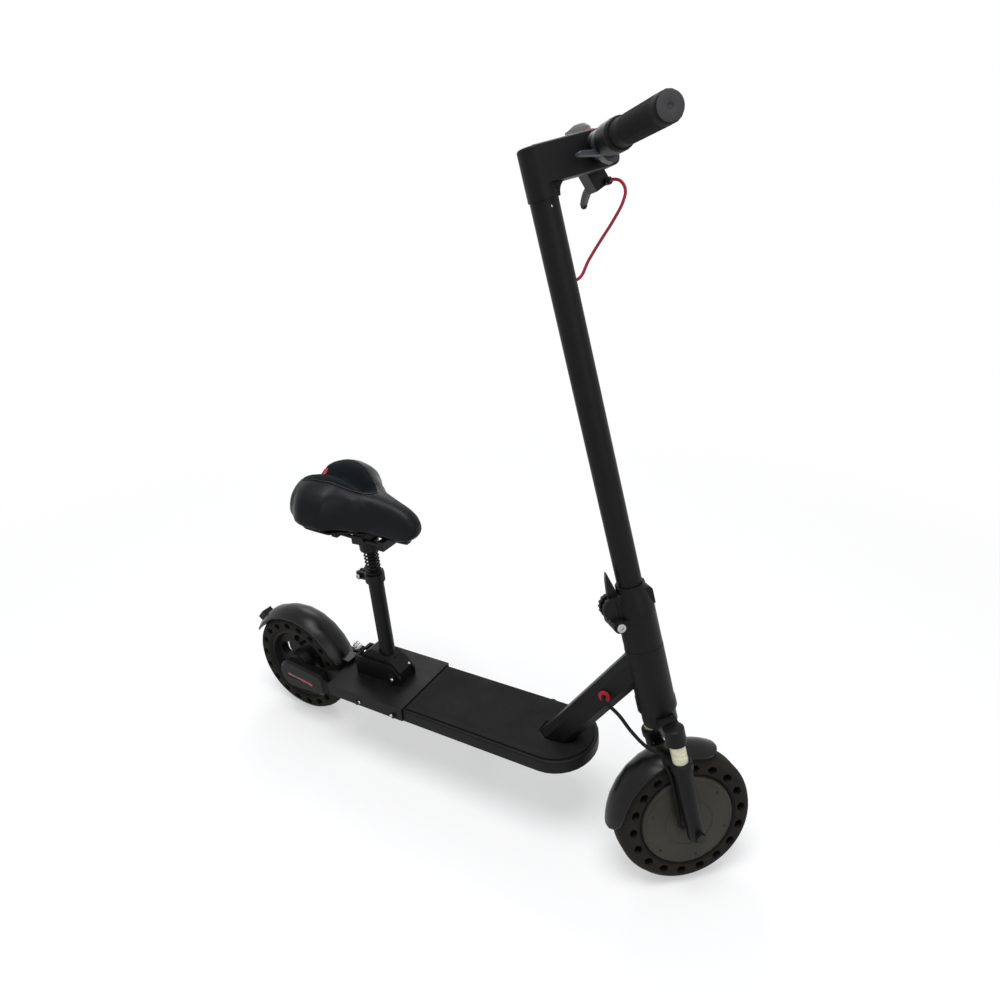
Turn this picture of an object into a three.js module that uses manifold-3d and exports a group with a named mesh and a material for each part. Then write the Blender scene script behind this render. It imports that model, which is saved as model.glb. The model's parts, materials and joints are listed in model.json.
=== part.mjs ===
// Seated electric scooter with a folding stem, a sprung fork and a sprung saddle post.
// Millimetres. +X points forward, +Y left, +Z up. The origin lies on the ground under the rear axle.
// The bars are turned to the left, as in the photograph, so the steered parts sit in a turned group.
import * as THREE from "three";
import { mergeVertices } from "three/addons/utils/BufferGeometryUtils.js";
import Module from "manifold-3d";

const wasm = await Module();
wasm.setup();

// Clearances and facet counts
const GAP = 0.3; // between pieces that touch
const RUNNING_GAP = 0.6; // round pieces that turn or slide
const OVERRUN = 3; // how far a cutting body runs past a face
const ROUND_SIDES = 16;
const STEM_SIDES = 20;
const SMALL_SIDES = 8;
const HEX_SIDES = 6;
const EDGE_STEPS = 4;

// Stance
const WHEELBASE = 783;
const RAKE_DEGREES = 15.9;
const STEER_DEGREES = 45;

// Tyres: solid rubber with a ring of side pockets
const TYRE_RADIUS = 108;
const TYRE_WIDTH = 50;
const TYRE_SIDES = 28;
const TREAD_FLAT = 22;
const SHOULDER_DROP = 4;
const SHOULDER_STEP = 8;
const SIDEWALL_DROP = 12;
const TYRE_SEAT_RADIUS = 76;
const TYRE_SEAT_WIDTH = 42;
const POCKET_COUNT = 18;
const POCKET_RING_RADIUS = 88.6;
const POCKET_LENGTH = 17;
const POCKET_HEIGHT = 12;
const POCKET_DEPTH = 17;
const FRONT_POCKET_DEGREES = 18;
const REAR_POCKET_DEGREES = 10;

// Axles
const AXLE_RADIUS = 6;
const NUT_RADIUS = 8.5;
const NUT_THICKNESS = 7;

// Front hub motor
const HUB_COVER_RADIUS = 73;
const HUB_HALF_WIDTH = 26;
const HUB_DOME = 4;
const HUB_BOSS_RADIUS = 20;
const HUB_BOSS_HEIGHT = 2;

// Rear wheel
const RIM_HALF_WIDTH = 20;
const RIM_WALL = 5;
const RIM_WEB_HALF = 8;
const REAR_HUB_RADIUS = 22;
const REAR_HUB_HALF = 24;
const WINDOW_COUNT = 5;
const WINDOW_OUTER_RADIUS = 63;
const WINDOW_INNER_RADIUS = 33;
const WINDOW_OUTER_HALF = 19;
const WINDOW_INNER_HALF = 6;
const WINDOW_SIDES = 5;
const DISC_RADIUS = 55;
const DISC_THICKNESS = 2.4;
const DISC_HOLE_COUNT = 9;
const DISC_HOLE_RADIUS = 5;
const DISC_HOLE_RING = 38;

// Fork, measured along the steering axis from the front axle
const LEG_OFFSET = 50;
const LEG_RADIUS = 13.5;
const LEG_TOP_RADIUS = 14.5;
const LEG_FOOT = 15;
const LEG_TIP_RADIUS = 10;
const LEG_TOP = 128;
const SEAL_RADIUS = 17;
const SEAL_HEIGHT = 11;
const SEAL_LIP = 3;
const LEG_BORE_FLOOR = 20;
const STANCHION_RADIUS = 11.5;
const STANCHION_FOOT = 47;
const SOCKET_LENGTH = 30;
const SOCKET_TOP = 190;
const SOCKET_FOOT = SOCKET_TOP - SOCKET_LENGTH;
const SOCKET_RADIUS = 15.5;
const SOCKET_LID = 5;
const FORK_TRAVEL = 22;
const CROWN_ARM_HEIGHT = 20;
const CROWN_ARM_DEPTH = 26;
const CROWN_ARM_DROP = 9;
const STEERER_RADIUS = 15;
const STEERER_BORE = 12;
const CROWN_RACE_RADIUS = 26;

// Head tube and neck of the frame
const CROWN_GAP = 5;
const HEAD_TUBE_LENGTH = 105;
const HEAD_TUBE_FOOT = SOCKET_TOP + CROWN_GAP;
const HEAD_TUBE_TOP = HEAD_TUBE_FOOT + HEAD_TUBE_LENGTH;
const HEAD_TUBE_RADIUS = 28.5;
const HEAD_TUBE_FLARE = 29.6;
const HEAD_TUBE_FLARE_HEIGHT = 13;
const HEAD_TUBE_BORE = 22;
const BEARING_HEIGHT = 9;
const NECK_JOIN_DROP = 20;
const NECK_JOIN = HEAD_TUBE_TOP - NECK_JOIN_DROP;
const NECK_DEPTH = 45;
const NECK_WIDTH = 42;
const NECK_FLARE = 4;
const NECK_FLARE_HEIGHT = 8;
const NECK_FOOT_BACK = 211;
const NECK_FOOT_X = WHEELBASE - NECK_FOOT_BACK;
const NECK_PORT_WIDTH = 26;
const NECK_PORT_HEIGHT = 12;
const NECK_PORT_DEPTH = 14;
const GROMMET_RADIUS = 9.5;
const GROMMET_HEIGHT = 4;
const GROMMET_BACK = 128;
const GROMMET_X = WHEELBASE - GROMMET_BACK;

// Deck, in a frame that slopes up to the front
const DECK_REAR_X = 130;
const DECK_REAR_HEIGHT = 145;
const DECK_SLOPE_DEGREES = 3.3;
const DECK_WHEEL_ROOM = 147;
const DECK_LENGTH = WHEELBASE - DECK_WHEEL_ROOM - DECK_REAR_X;
const DECK_WIDTH = 147;
const DECK_NOSE = 68;
const DECK_SIDE = 22;
const DECK_TOP_WALL = 4;
const DECK_SIDE_WALL = 4;
const DECK_EDGE = 3;
const MAT_THICKNESS = 2.2;
const MAT_INSET = 6;
const MAT_NECK_GAP = 2.4;
const TUB_DEPTH = 25;
const TUB_WALL = 2.5;
const TUB_TOP_INSET = 9;
const TUB_FOOT_INSET = 26;
const TUB_NOSE_ROOM = 86;
const TUB_END = DECK_LENGTH - TUB_NOSE_ROOM;
const BATTERY_SIDE_ROOM = 31.5;
const BATTERY_WIDTH = DECK_WIDTH - BATTERY_SIDE_ROOM * 2;
const BATTERY_HEIGHT = 36;
const BATTERY_START = 30;
const BATTERY_END_ROOM = 70;
const BATTERY_LENGTH = TUB_END - BATTERY_END_ROOM - BATTERY_START;
const CHARGE_NOSE_ROOM = 111;
const CHARGE_SOCKET_X = DECK_LENGTH - CHARGE_NOSE_ROOM;
const CHARGE_SOCKET_RADIUS = 6;
const CHARGE_SOCKET_DROP = 11;
const CHARGE_CAP_RADIUS = 8.5;
const CHARGE_CAP_THICKNESS = 2.5;
const CHARGE_HINGE_RADIUS = 1.8;

// Rear frame
const DROPOUT_INNER = 34;
const DROPOUT_THICKNESS = 6;
const DROPOUT_END_RADIUS = 17;
const DROPOUT_BLOCK = 8;
const DROPOUT_FLARE_RISE = 6;
const COVER_BACK = 20;
const COVER_LENGTH = 114;
const COVER_HALF_HEIGHT = 31;
const COVER_FRONT_HALF = 24;
const COVER_THICKNESS = 16;
const COVER_WALL = 3;
const COVER_EDGE = 4;
const REFLECTOR_LENGTH = 62;
const REFLECTOR_HEIGHT = 7;
const REFLECTOR_DEPTH = 1;

// Fenders
const FENDER_RADIUS = 123;
const FENDER_THICKNESS = 3;
const FENDER_HALF_WIDTH = 29;
const FENDER_CROWN = 12;
const FENDER_TIP_SHARE = 0.35;
const FENDER_ROUND_SHARE = 0.12;
const FENDER_SHARES = [-1, -0.75, -0.4, 0, 0.4, 0.75, 1];
const FENDER_STATION_SHARES = [
  0, 0.015, 0.05, 0.1, 0.18, 0.28, 0.39, 0.5, 0.61, 0.72, 0.82, 0.9, 0.95, 0.985, 1,
];
const REAR_FENDER_FOOT_DROP = 7;
const REAR_FENDER_BACK_DEGREES = 160;
const FRONT_FENDER_FRONT_DEGREES = 52;
const FRONT_FENDER_BACK_DEGREES = 168;
const FENDER_LUG_DEPTH = 16;
const FENDER_LUG_HEIGHT = 12;
const TAIL_LIGHT_DEGREES = 142;
const TAIL_LIGHT_LENGTH = 20;
const TAIL_LIGHT_WIDTH = 24;
const TAIL_LIGHT_HEIGHT = 8;

// Seat base on the deck
const SEAT_PLATE_SHARE = 0.338;
const SEAT_PLATE_LENGTH = DECK_LENGTH * SEAT_PLATE_SHARE;
const WELD_SINK = 1; // how far a joined piece reaches into the next
const SEAT_PLATE_THICKNESS = 3;
const SEAT_FLANGE_HEIGHT = 25;
const SEAT_BOLT_RADIUS = 4.5;
const SEAT_BOLT_HEIGHT = 3;
const SEAT_BOLT_DROP = 19.3;
const SEAT_BOLT_SHARES = [0.4, 0.89];
const CHEEK_INNER = 19;
const CHEEK_THICKNESS = 4;
const CHEEK_BACK = 28;
const CHEEK_FRONT = 132;
const CHEEK_HEIGHT = 42;
const CHEEK_REAR_WALL = 6;
const CROSS_BOLT_X = 114;
const CROSS_BOLT_HEIGHT = 20;
const CROSS_BOLT_RADIUS = 5;
const CROSS_BOLT_HEAD = 8;
const SEAT_TUBE_X = 93;
const SEAT_LEAN_DEGREES = 1.6;
const SEAT_TUBE_RADIUS = 14;
const SEAT_TUBE_BORE = 11.6;
const SEAT_TUBE_TOP = 206;
const SEAT_TUBE_FLOOR = 44;
const SEAT_CUP_RADIUS = 19;
const SEAT_CUP_TOP = 50;
const SEAT_FOOT_TOP = 64;
const SEAT_FOOT_RISE = 2;
const COLLAR_RADIUS = 18;
const COLLAR_HEIGHT = 16;
const COLLAR_EAR_REACH = 36;
const COLLAR_EAR_HALF = 8;
const COLLAR_SLOT_HALF = 1.5;
const COLLAR_BOLT_RADIUS = 3;
const COLLAR_BOLT_SETBACK = 8;
const COLLAR_NUT_RADIUS = 5.5;
const COLLAR_NUT_HEIGHT = 5;
const CLAMP_LEVER_LENGTH = 24;
const CLAMP_LEVER_WIDTH = 12;
const CLAMP_LEVER_THICKNESS = 4;
const CLAMP_CAM_RADIUS = 7;
const LATCH_PIN_RADIUS = 4;
const LATCH_PIN_LENGTH = 26;
const LATCH_KNOB_RADIUS = 7;
const LATCH_KNOB_LENGTH = 16;
const LATCH_RIB_COUNT = 3;
const LATCH_RIB_HEIGHT = 1.2;
const LATCH_HEIGHT = 38;
const LATCH_DEGREES = 30;

// Seat post, spring and saddle
const POST_RADIUS = 11;
const POST_FOOT = 64;
const POST_FLANGE_RADIUS = 14.5;
const POST_FLANGE_HEIGHT = 4;
const POST_PIN_RADIUS = 7.5;
const SPRING_LENGTH = 40;
const SPRING_WIRE = 3.6;
const SPRING_RADIUS = 12.4;
const SPRING_TURNS = 5.5;
const SPRING_STEPS_PER_TURN = 8;
const SPRING_WIRE_SIDES = 5;
const SADDLE_CLAMP_RADIUS = 18;
const SADDLE_CLAMP_HEIGHT = 24;
const YOKE_HALF = 12.6;
const RAIL_RADIUS = 3.5;
const RAIL_OFFSET = 22;
const RAIL_BACK = 52;
const RAIL_FRONT = 50;
const RAIL_RISE = 8;
const SADDLE_BACK = 116;
const SADDLE_LENGTH = 230;
const SADDLE_HALF_WIDTH = 99;
const SADDLE_HEIGHT = 104;
const SADDLE_LIFT = 15;
const SADDLE_GROOVE = 24;
const SADDLE_SKIRT = 9;
const SHELL_INSET = 8;
const SHELL_HEIGHT = 5;
const SADDLE_STATIONS = 18;
const SADDLE_GROOVE_HALF = 17;
const SADDLE_GROOVE_END = 0.62;
const SADDLE_GROOVE_FADE = 0.14;
const SADDLE_GROOVE_TAIL = 0.4;
const SADDLE_SIDE_POWER = 2.8;
const SADDLE_CROWN_POWER = 0.8;
const SADDLE_TOP_SHARES = [1, 0.97, 0.88, 0.74, 0.58, 0.42, 0.3, 0.2, 0.1, 0];
const SADDLE_FOOT_SHARES = [0.94, 0.76, 0.4, 0];
const SADDLE_SHARES = [
  [0, 0.5, 0.78, 0.42],
  [0.063, 0.81, 0.965, 0.317],
  [0.211, 1, 1.025, 0.269],
  [0.359, 0.93, 1.005, 0.212],
  [0.506, 0.59, 0.9, 0.144],
  [0.654, 0.355, 0.765, 0.077],
  [0.802, 0.28, 0.675, 0.019],
  [0.928, 0.24, 0.565, 0.019],
  [1, 0.1, 0.4, 0.17],
];
const RAIL_LUG = 6;

// Fold joint, along the steering axis
const FOLD_BASE_HEIGHT = 56;
const FOLD_CLAMP_HEIGHT = 44;
const FOLD_FOOT = HEAD_TUBE_TOP;
const FOLD_SEAM = FOLD_FOOT + FOLD_BASE_HEIGHT;
const FOLD_TOP = FOLD_SEAM + FOLD_CLAMP_HEIGHT;
const FOLD_RADIUS = 28;
const FOLD_PIVOT_BACK = 33;
const FOLD_PIVOT_DROP = 7;
const FOLD_PIVOT_HEIGHT = FOLD_SEAM - FOLD_PIVOT_DROP;
const FOLD_EAR_RADIUS = 9.8;
const FOLD_KNUCKLE_RADIUS = 9.6;
const FOLD_KNUCKLE_HALF = 11.5;
const FOLD_EAR_OUTER = 20;
const FOLD_BOLT_RADIUS = 4;
const FOLD_BOLT_HEAD = 6.5;
const FOLD_BOLT_HEAD_HEIGHT = 4;
const FOLD_SOCKET_RADIUS = 3.5;
const FOLD_SOCKET_DEPTH = 2;
const CLAMP_TOP_RADIUS = 21.5;
const CLAMP_BLOCK_REACH = 27;
const CLAMP_BLOCK_HALF = 13;
const CLAMP_BLOCK_INSET = 8;
const CLAMP_BLOCK_FOOT = FOLD_SEAM + CLAMP_BLOCK_INSET;
const CLAMP_BLOCK_TOP = FOLD_TOP - CLAMP_BLOCK_INSET;
const CLAMP_PAD_BACK = 29;
const CAM_BACK = 25.5;
const CAM_RISE = 24;
const CAM_HEIGHT = FOLD_SEAM + CAM_RISE;
const CAM_PIN_RADIUS = 3;
const CAM_HUB_RADIUS = 6;
const LEVER_HALF = 4;
const LEVER_HORN_RISE = 48;
const LEVER_HORN_TOP = CAM_HEIGHT + LEVER_HORN_RISE;
const LEVER_HORN_BACK = 31;
const LEVER_HORN_WIDTH = 12;
const HOUSING_RADIUS = 21;
const HOUSING_RISE = 24;
const HOUSING_HEIGHT = FOLD_PIVOT_HEIGHT + HOUSING_RISE;
const HOUSING_HALF = 11.5;
const HOUSING_RIBS = 9;
const HOUSING_RIB_DEPTH = 2;
const HOUSING_CAP = 18;
const HOUSING_TOP = HOUSING_HEIGHT + HOUSING_CAP;

// Stem and head
const STEM_RADIUS = 18;
const STEM_BORE = 15.5;
const STEM_FOOT_RISE = 6;
const STEM_FOOT = FOLD_SEAM + STEM_FOOT_RISE;
const STEM_INSERT = 14;
const BAR_HEIGHT = 961;
const BAR_FORWARD = 71;
const HEAD_DROP = 25;
const HEAD_RISE = 20;
const HEAD_FOOT = BAR_HEIGHT - HEAD_DROP;
const HEAD_TOP = BAR_HEIGHT + HEAD_RISE;
const HEAD_FRONT = 98;
const HEAD_HALF_WIDTH = 19.6;
const HEAD_SKIRT = 16;
const HEAD_EDGE = 3;
const HEAD_CORNER = 10;
const HEAD_GUSSET = 18;
const HEAD_GUSSET_HALF = 12;
const PANEL_LENGTH = 66;
const PANEL_WIDTH = 30;
const PANEL_THICKNESS = 1.6;
const PANEL_RECESS = 1.2;
const PANEL_START = -4;
const BUTTON_RADIUS = 6;
const BUTTON_HEIGHT = 5;
const BUTTON_PROUD = 2.2;
const BUTTON_TRAVEL = 1.5;
const BUTTON_SETBACK = 3;
const LAMP_RADIUS = 12;
const LAMP_DEPTH = 8;
const LAMP_PROUD = 2;
const LAMP_DOME_SHARE = 0.7;

// Bars and controls, across the bar from its centre
const BAR_RADIUS = 11;
const BAR_HALF = 212;
const GRIP_START = 95;
const GRIP_END = 216;
const GRIP_RADIUS = 15.9;
const GRIP_FLANGE = 18;
const GRIP_FLANGE_WIDTH = 3;
const GRIP_HOLE = 2.5;
const THROTTLE_INNER = 60;
const THROTTLE_OUTER = 93;
const THROTTLE_RADIUS = 19;
const THROTTLE_COLLAR_INNER = 29;
const THROTTLE_COLLAR_OUTER = 44;
const THROTTLE_COLLAR_RADIUS = 17;
const THROTTLE_HUB_RADIUS = 17;
const THROTTLE_BLADE_REACH = 44;
const BLADE_SHARES = [
  [-0.18, 0.36],
  [-0.18, 0.52],
  [0, 0.57],
  [0.18, 0.46],
  [0.28, 0.3],
  [0.55, 0.24],
  [0.8, 0.19],
  [0.87, 0.12],
  [0.8, 0.075],
  [0.55, 0.12],
  [0.25, 0.15],
];
const BRAKE_RING_INNER = 30;
const BRAKE_RING_OUTER = 46;
const BRAKE_RING_RADIUS = 16;
const BRAKE_BARREL_RADIUS = 5;
const BRAKE_BARREL_LENGTH = 9;
const BRAKE_PIVOT_OUT = 54;
const BRAKE_PIN_RADIUS = 3;
const BRAKE_LUG_RADIUS = 7;
const BRAKE_LEVER_THICKNESS = 7;
const BRAKE_LEVER_LENGTH = 62;
const BRAKE_LEVER_WIDTH = 8;
const BRAKE_LEVER_BOW = 20;
const BRAKE_CHEEK = 4;
const BRAKE_PIVOT_DROP = 40;
const BRAKE_BALL_RADIUS = 5;
const BRAKE_DROOP_DEGREES = 19.3;
const BRAKE_BARREL_FORWARD = 10;
const BRAKE_BARREL_DROP = 44;
const BELL_CENTRE = 70;
const BELL_RADIUS = 18;
const BELL_HEIGHT = 16;
const BELL_WALL = 1.6;
const BELL_WAIST_SHARE = 0.92;
const BELL_CREST_SHARE = 0.6;
const BELL_BASE = 24;
const BELL_FORWARD = 15;
const BELL_STRAP_HALF = 5;
const BELL_STRAP_RADIUS = 13.5;
const BELL_PIN_RADIUS = 2.2;
const STRIKER_LENGTH = 15;
const STRIKER_THICKNESS = 3;
const STRIKER_HALF = 4;
const STRIKER_PIN_BACK = 23.5;
const BRAKE_CABLE_DIAMETER = 4;
const STEM_GROMMET_DROP = 141;
const STEM_GROMMET_HEIGHT = BAR_HEIGHT - STEM_GROMMET_DROP;
const STEM_GROMMET_RADIUS = 6;
const STEM_GROMMET_PROUD = 5;
const MOTOR_CABLE_DIAMETER = 5.6;
const MOTOR_CABLE_SIDES = 6;
const CABLE_STEPS = 22;
const CABLE_SHARES = [
  [0.9, 0.338, -0.271],
  [0.53, 0.345, -0.272],
  [0.23, 0.38, -0.282],
  [0.067, 0.43, -0.309],
  [0, 0.47, -0.38],
  [0, 0.39, -0.472],
  [0, 0.15, -0.602],
  [0, -0.16, -0.74],
  [0, -0.44, -0.87],
];
const UPPER_CABLE_SHARES = [
  [0.31, 0.8, 0.2],
  [0.5, 0.97, 0.51],
  [0.755, 1, 0.83],
];
const LOWER_CABLE_SHARES = [
  [0.95, 1, 5],
  [0.97, 1, 3],
  [1.05, 1.02, 1.4],
  [1.2, 1.12, 0.6],
  [0.9, 1.17, 0.4],
];

// Rear brake on the left side
const CALIPER_LENGTH = 26;
const CALIPER_HEIGHT = 30;
const CALIPER_HALF = 4.2;
const CALIPER_DEGREES = 60;
const CALIPER_RING = 52;
const CALIPER_TAB_RADIUS = 12;
const CALIPER_ARM_LENGTH = 26;
const CALIPER_ARM_WIDTH = 9;
const CALIPER_ARM_THICKNESS = 2.5;
const CALIPER_PIN_RADIUS = 3;

// Kickstand on the left side
const STAND_X = 330;
const STAND_FOOT_OUT = 128;
const STAND_FOOT_FORWARD = 30;
const STAND_RADIUS = 5;
const STAND_PAD_RADIUS = 10;
const STAND_PAD_THICKNESS = 4;
const STAND_PIN_RADIUS = 4;
const STAND_DROP = 28;
const STAND_HEAD_HEIGHT = 4;
const STAND_HEAD_RADIUS = 6.5;
const STAND_HUB_RADIUS = 8;
const STAND_HUB_WIDTH = 10;
const STAND_BOSS = 4;
const STAND_PLATE_HALF = 11;
const STAND_PLATE_DROP = 6;

const rake = THREE.MathUtils.degToRad(RAKE_DEGREES);
const steer = THREE.MathUtils.degToRad(STEER_DEGREES);
const slope = THREE.MathUtils.degToRad(DECK_SLOPE_DEGREES);
const vector = (x, y, z) => new THREE.Vector3(x, y, z);

// Solids
function toManifold(geometry) {
  const plain = (geometry.index ? geometry : mergeVertices(geometry)).clone();
  plain.deleteAttribute("normal");
  plain.deleteAttribute("uv");
  const merged = mergeVertices(plain);
  const mesh = new wasm.Mesh({
    numProp: 3,
    vertProperties: new Float32Array(merged.attributes.position.array),
    triVerts: new Uint32Array(merged.index.array),
  });
  return new wasm.Manifold(mesh);
}

function toGeometry(manifold) {
  const mesh = manifold.getMesh();
  const geometry = new THREE.BufferGeometry();
  geometry.setAttribute("position", new THREE.BufferAttribute(new Float32Array(mesh.vertProperties), 3));
  geometry.setIndex(new THREE.BufferAttribute(new Uint32Array(mesh.triVerts), 1));
  return geometry;
}

function join(...geometries) {
  return toGeometry(geometries.map(toManifold).reduce((whole, piece) => whole.add(piece)));
}

function cut(geometry, ...tools) {
  const body = toManifold(geometry);
  return toGeometry(tools.map(toManifold).reduce((whole, tool) => whole.subtract(tool), body));
}

// A box from its lowest to its highest corner
function block(x0, x1, y0, y1, z0, z1) {
  const geometry = new THREE.BoxGeometry(x1 - x0, y1 - y0, z1 - z0);
  return geometry.translate((x0 + x1) / 2, (y0 + y1) / 2, (z0 + z1) / 2);
}

// A round rod between two points
function rod(radius, from, to, sides = SMALL_SIDES) {
  const along = to.clone().sub(from);
  const geometry = new THREE.CylinderGeometry(radius, radius, along.length(), sides);
  const turn = new THREE.Quaternion().setFromUnitVectors(vector(0, 1, 0), along.clone().normalize());
  const middle = from.clone().add(to).multiplyScalar(0.5);
  return geometry.applyQuaternion(turn).translate(middle.x, middle.y, middle.z);
}

// A turned piece about the Y axis, from [radius, y] points
function turned(profile, sides = ROUND_SIDES, phase = 0) {
  const points = profile.map(([radius, y]) => new THREE.Vector2(radius, y));
  return new THREE.LatheGeometry(points, sides, phase);
}

// A turned piece about the Z axis, from [radius, z] points
function turnedUp(profile, sides = ROUND_SIDES) {
  return turned(profile, sides).rotateX(Math.PI / 2);
}

// A closed ring profile whose bore and outside are straight
function tubeProfile(inner, outer, low, high) {
  return [[inner, low], [outer, low], [outer, high], [inner, high], [inner, low]];
}

function outline(points) {
  return new THREE.Shape(points.map(([x, y]) => new THREE.Vector2(x, y)));
}

// An outline in X and Z, drawn through from y0 to y1
function slabY(shape, y0, y1, curveSegments = SMALL_SIDES) {
  const geometry = new THREE.ExtrudeGeometry(shape, { depth: y1 - y0, bevelEnabled: false, curveSegments });
  return geometry.rotateX(Math.PI / 2).translate(0, y1, 0);
}

// An outline in X and Y, drawn up from z0 to z1
function slabZ(shape, z0, z1, curveSegments = SMALL_SIDES) {
  const geometry = new THREE.ExtrudeGeometry(shape, { depth: z1 - z0, bevelEnabled: false, curveSegments });
  return geometry.translate(0, 0, z0);
}

// A skin over rings of points, with flat ends
function loft(rings) {
  const count = rings[0].length;
  const positions = rings.flat().flatMap((point) => [point.x, point.y, point.z]);
  const index = [];
  for (let r = 0; r + 1 < rings.length; r += 1) {
    for (let i = 0; i < count; i += 1) {
      const next = (i + 1) % count;
      const a = r * count + i;
      const b = r * count + next;
      index.push(a, b, b + count, a, b + count, a + count);
    }
  }
  const ends = [[0, false], [rings.length - 1, true]];
  ends.forEach(([r, outward]) => {
    const centre = rings[r].reduce((sum, point) => sum.add(point), vector(0, 0, 0)).divideScalar(count);
    const hub = positions.length / 3;
    positions.push(centre.x, centre.y, centre.z);
    for (let i = 0; i < count; i += 1) {
      const a = r * count + i;
      const b = r * count + ((i + 1) % count);
      index.push(...(outward ? [hub, a, b] : [hub, b, a]));
    }
  });
  const geometry = new THREE.BufferGeometry();
  geometry.setAttribute("position", new THREE.Float32BufferAttribute(positions, 3));
  geometry.setIndex(index);
  return geometry;
}

// A tube of round section along a smooth curve through points
function cable(points, diameter, steps) {
  const shape = new THREE.Shape();
  shape.absarc(0, 0, diameter / 2, 0, 2 * Math.PI);
  const extrudePath = new THREE.CatmullRomCurve3(points);
  return new THREE.ExtrudeGeometry(shape, { steps, extrudePath, curveSegments: MOTOR_CABLE_SIDES / 2 });
}

function hexNut(radius, from, to) {
  return rod(radius, from, to, HEX_SIDES);
}

// Finishes
const finish = (color, roughness, metalness) => ({ color, roughness, metalness });
const PAINT = finish(0x4a4a4d, 0.45, 0.3);
const BLACK_PLASTIC = finish(0x2b2b2d, 0.55, 0);
const GLOSS_PLASTIC = finish(0x3c3c40, 0.2, 0);
const RUBBER = finish(0x3a3836, 0.85, 0);
const STEEL = finish(0xb8b8ba, 0.3, 0.9);
const CREAM = finish(0xd8d4c4, 0.35, 0.4);
const RED_RUBBER = finish(0xd8404a, 0.6, 0);
const LEATHER = finish(0x3d3d42, 0.5, 0);
const GLASS = finish(0x111114, 0.08, 0);
const LIGHT_GREY = finish(0xa9a9a6, 0.5, 0);

const scooter = new THREE.Group();
const rakeFrame = new THREE.Group();
const steerFrame = new THREE.Group();
const deckFrame = new THREE.Group();
const seatFrame = new THREE.Group();
const saddleFrame = new THREE.Group();

function place(parent, name, geometry, look) {
  const mesh = new THREE.Mesh(geometry, new THREE.MeshStandardMaterial(look));
  mesh.name = name;
  parent.add(mesh);
  return mesh;
}

// Tyre profile as [distance from the middle, radius] of one half
const tyreHalf = [
  [TREAD_FLAT / 2, TYRE_RADIUS],
  [TREAD_FLAT / 2 + SHOULDER_STEP, TYRE_RADIUS - SHOULDER_DROP],
  [TYRE_WIDTH / 2, TYRE_RADIUS - SIDEWALL_DROP],
];

// The lean of the turned front wheel sets how high its axle stands
const wheelLean = Math.asin(Math.sin(steer) * Math.sin(rake));
const frontAxleHeight = Math.max(
  ...tyreHalf.map(([side, radius]) => radius * Math.cos(wheelLean) + side * Math.sin(wheelLean)),
);

rakeFrame.position.set(WHEELBASE, 0, frontAxleHeight);
rakeFrame.rotation.y = -rake;
steerFrame.rotation.z = steer;
rakeFrame.add(steerFrame);
deckFrame.position.set(DECK_REAR_X, 0, DECK_REAR_HEIGHT);
deckFrame.rotation.y = -slope;
seatFrame.position.set(SEAT_TUBE_X, 0, 0);
seatFrame.rotation.y = -THREE.MathUtils.degToRad(SEAT_LEAN_DEGREES);
deckFrame.add(seatFrame);
scooter.add(rakeFrame, deckFrame);

// A point on the steering axis frame, seen from the world with the bars straight
function rakedPoint(forward, side, up) {
  return vector(
    WHEELBASE + forward * Math.cos(rake) - up * Math.sin(rake),
    side,
    frontAxleHeight + forward * Math.sin(rake) + up * Math.cos(rake),
  );
}

// Wheels
const facetShare = 1 / Math.cos(Math.PI / TYRE_SIDES);
const wheelPhase = Math.PI / TYRE_SIDES;

function tyre(pocketDegrees) {
  const phase = THREE.MathUtils.degToRad(pocketDegrees);
  const seatHalf = TYRE_SEAT_WIDTH / 2;
  const right = tyreHalf.map(([side, radius]) => [radius, side]);
  const left = [...right].reverse().map(([radius, side]) => [radius, -side]);
  const ring = [
    [TYRE_SEAT_RADIUS, -seatHalf],
    [TYRE_SEAT_RADIUS + SHOULDER_DROP, -TYRE_WIDTH / 2],
    ...left,
    ...right,
    [TYRE_SEAT_RADIUS + SHOULDER_DROP, TYRE_WIDTH / 2],
    [TYRE_SEAT_RADIUS, seatHalf],
    [TYRE_SEAT_RADIUS, -seatHalf],
  ];
  const body = turned(ring.map(([radius, side]) => [radius * facetShare, side]), TYRE_SIDES, wheelPhase);
  const pockets = [];
  for (let i = 0; i < POCKET_COUNT; i += 1) {
    [-1, 1].forEach((side) => {
      const floor = side * (TYRE_WIDTH / 2 - POCKET_DEPTH);
      const mouth = side * (TYRE_WIDTH / 2 + OVERRUN);
      const pocket = slabY(pocketShape(), Math.min(floor, mouth), Math.max(floor, mouth));
      const angle = phase + (i * 2 * Math.PI) / POCKET_COUNT;
      pockets.push(pocket.translate(0, 0, POCKET_RING_RADIUS).rotateY(angle));
    });
  }
  return cut(body, ...pockets);
}

// A six-sided pocket, as honeycomb tyres have
function pocketShape() {
  const halfLength = POCKET_LENGTH / 2;
  const halfHeight = POCKET_HEIGHT / 2;
  const shoulder = halfLength / 2;
  return outline([
    [-halfLength, 0],
    [-shoulder, -halfHeight],
    [shoulder, -halfHeight],
    [halfLength, 0],
    [shoulder, halfHeight],
    [-shoulder, halfHeight],
  ]);
}

const wheelSeat = TYRE_SEAT_RADIUS - GAP;

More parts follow.
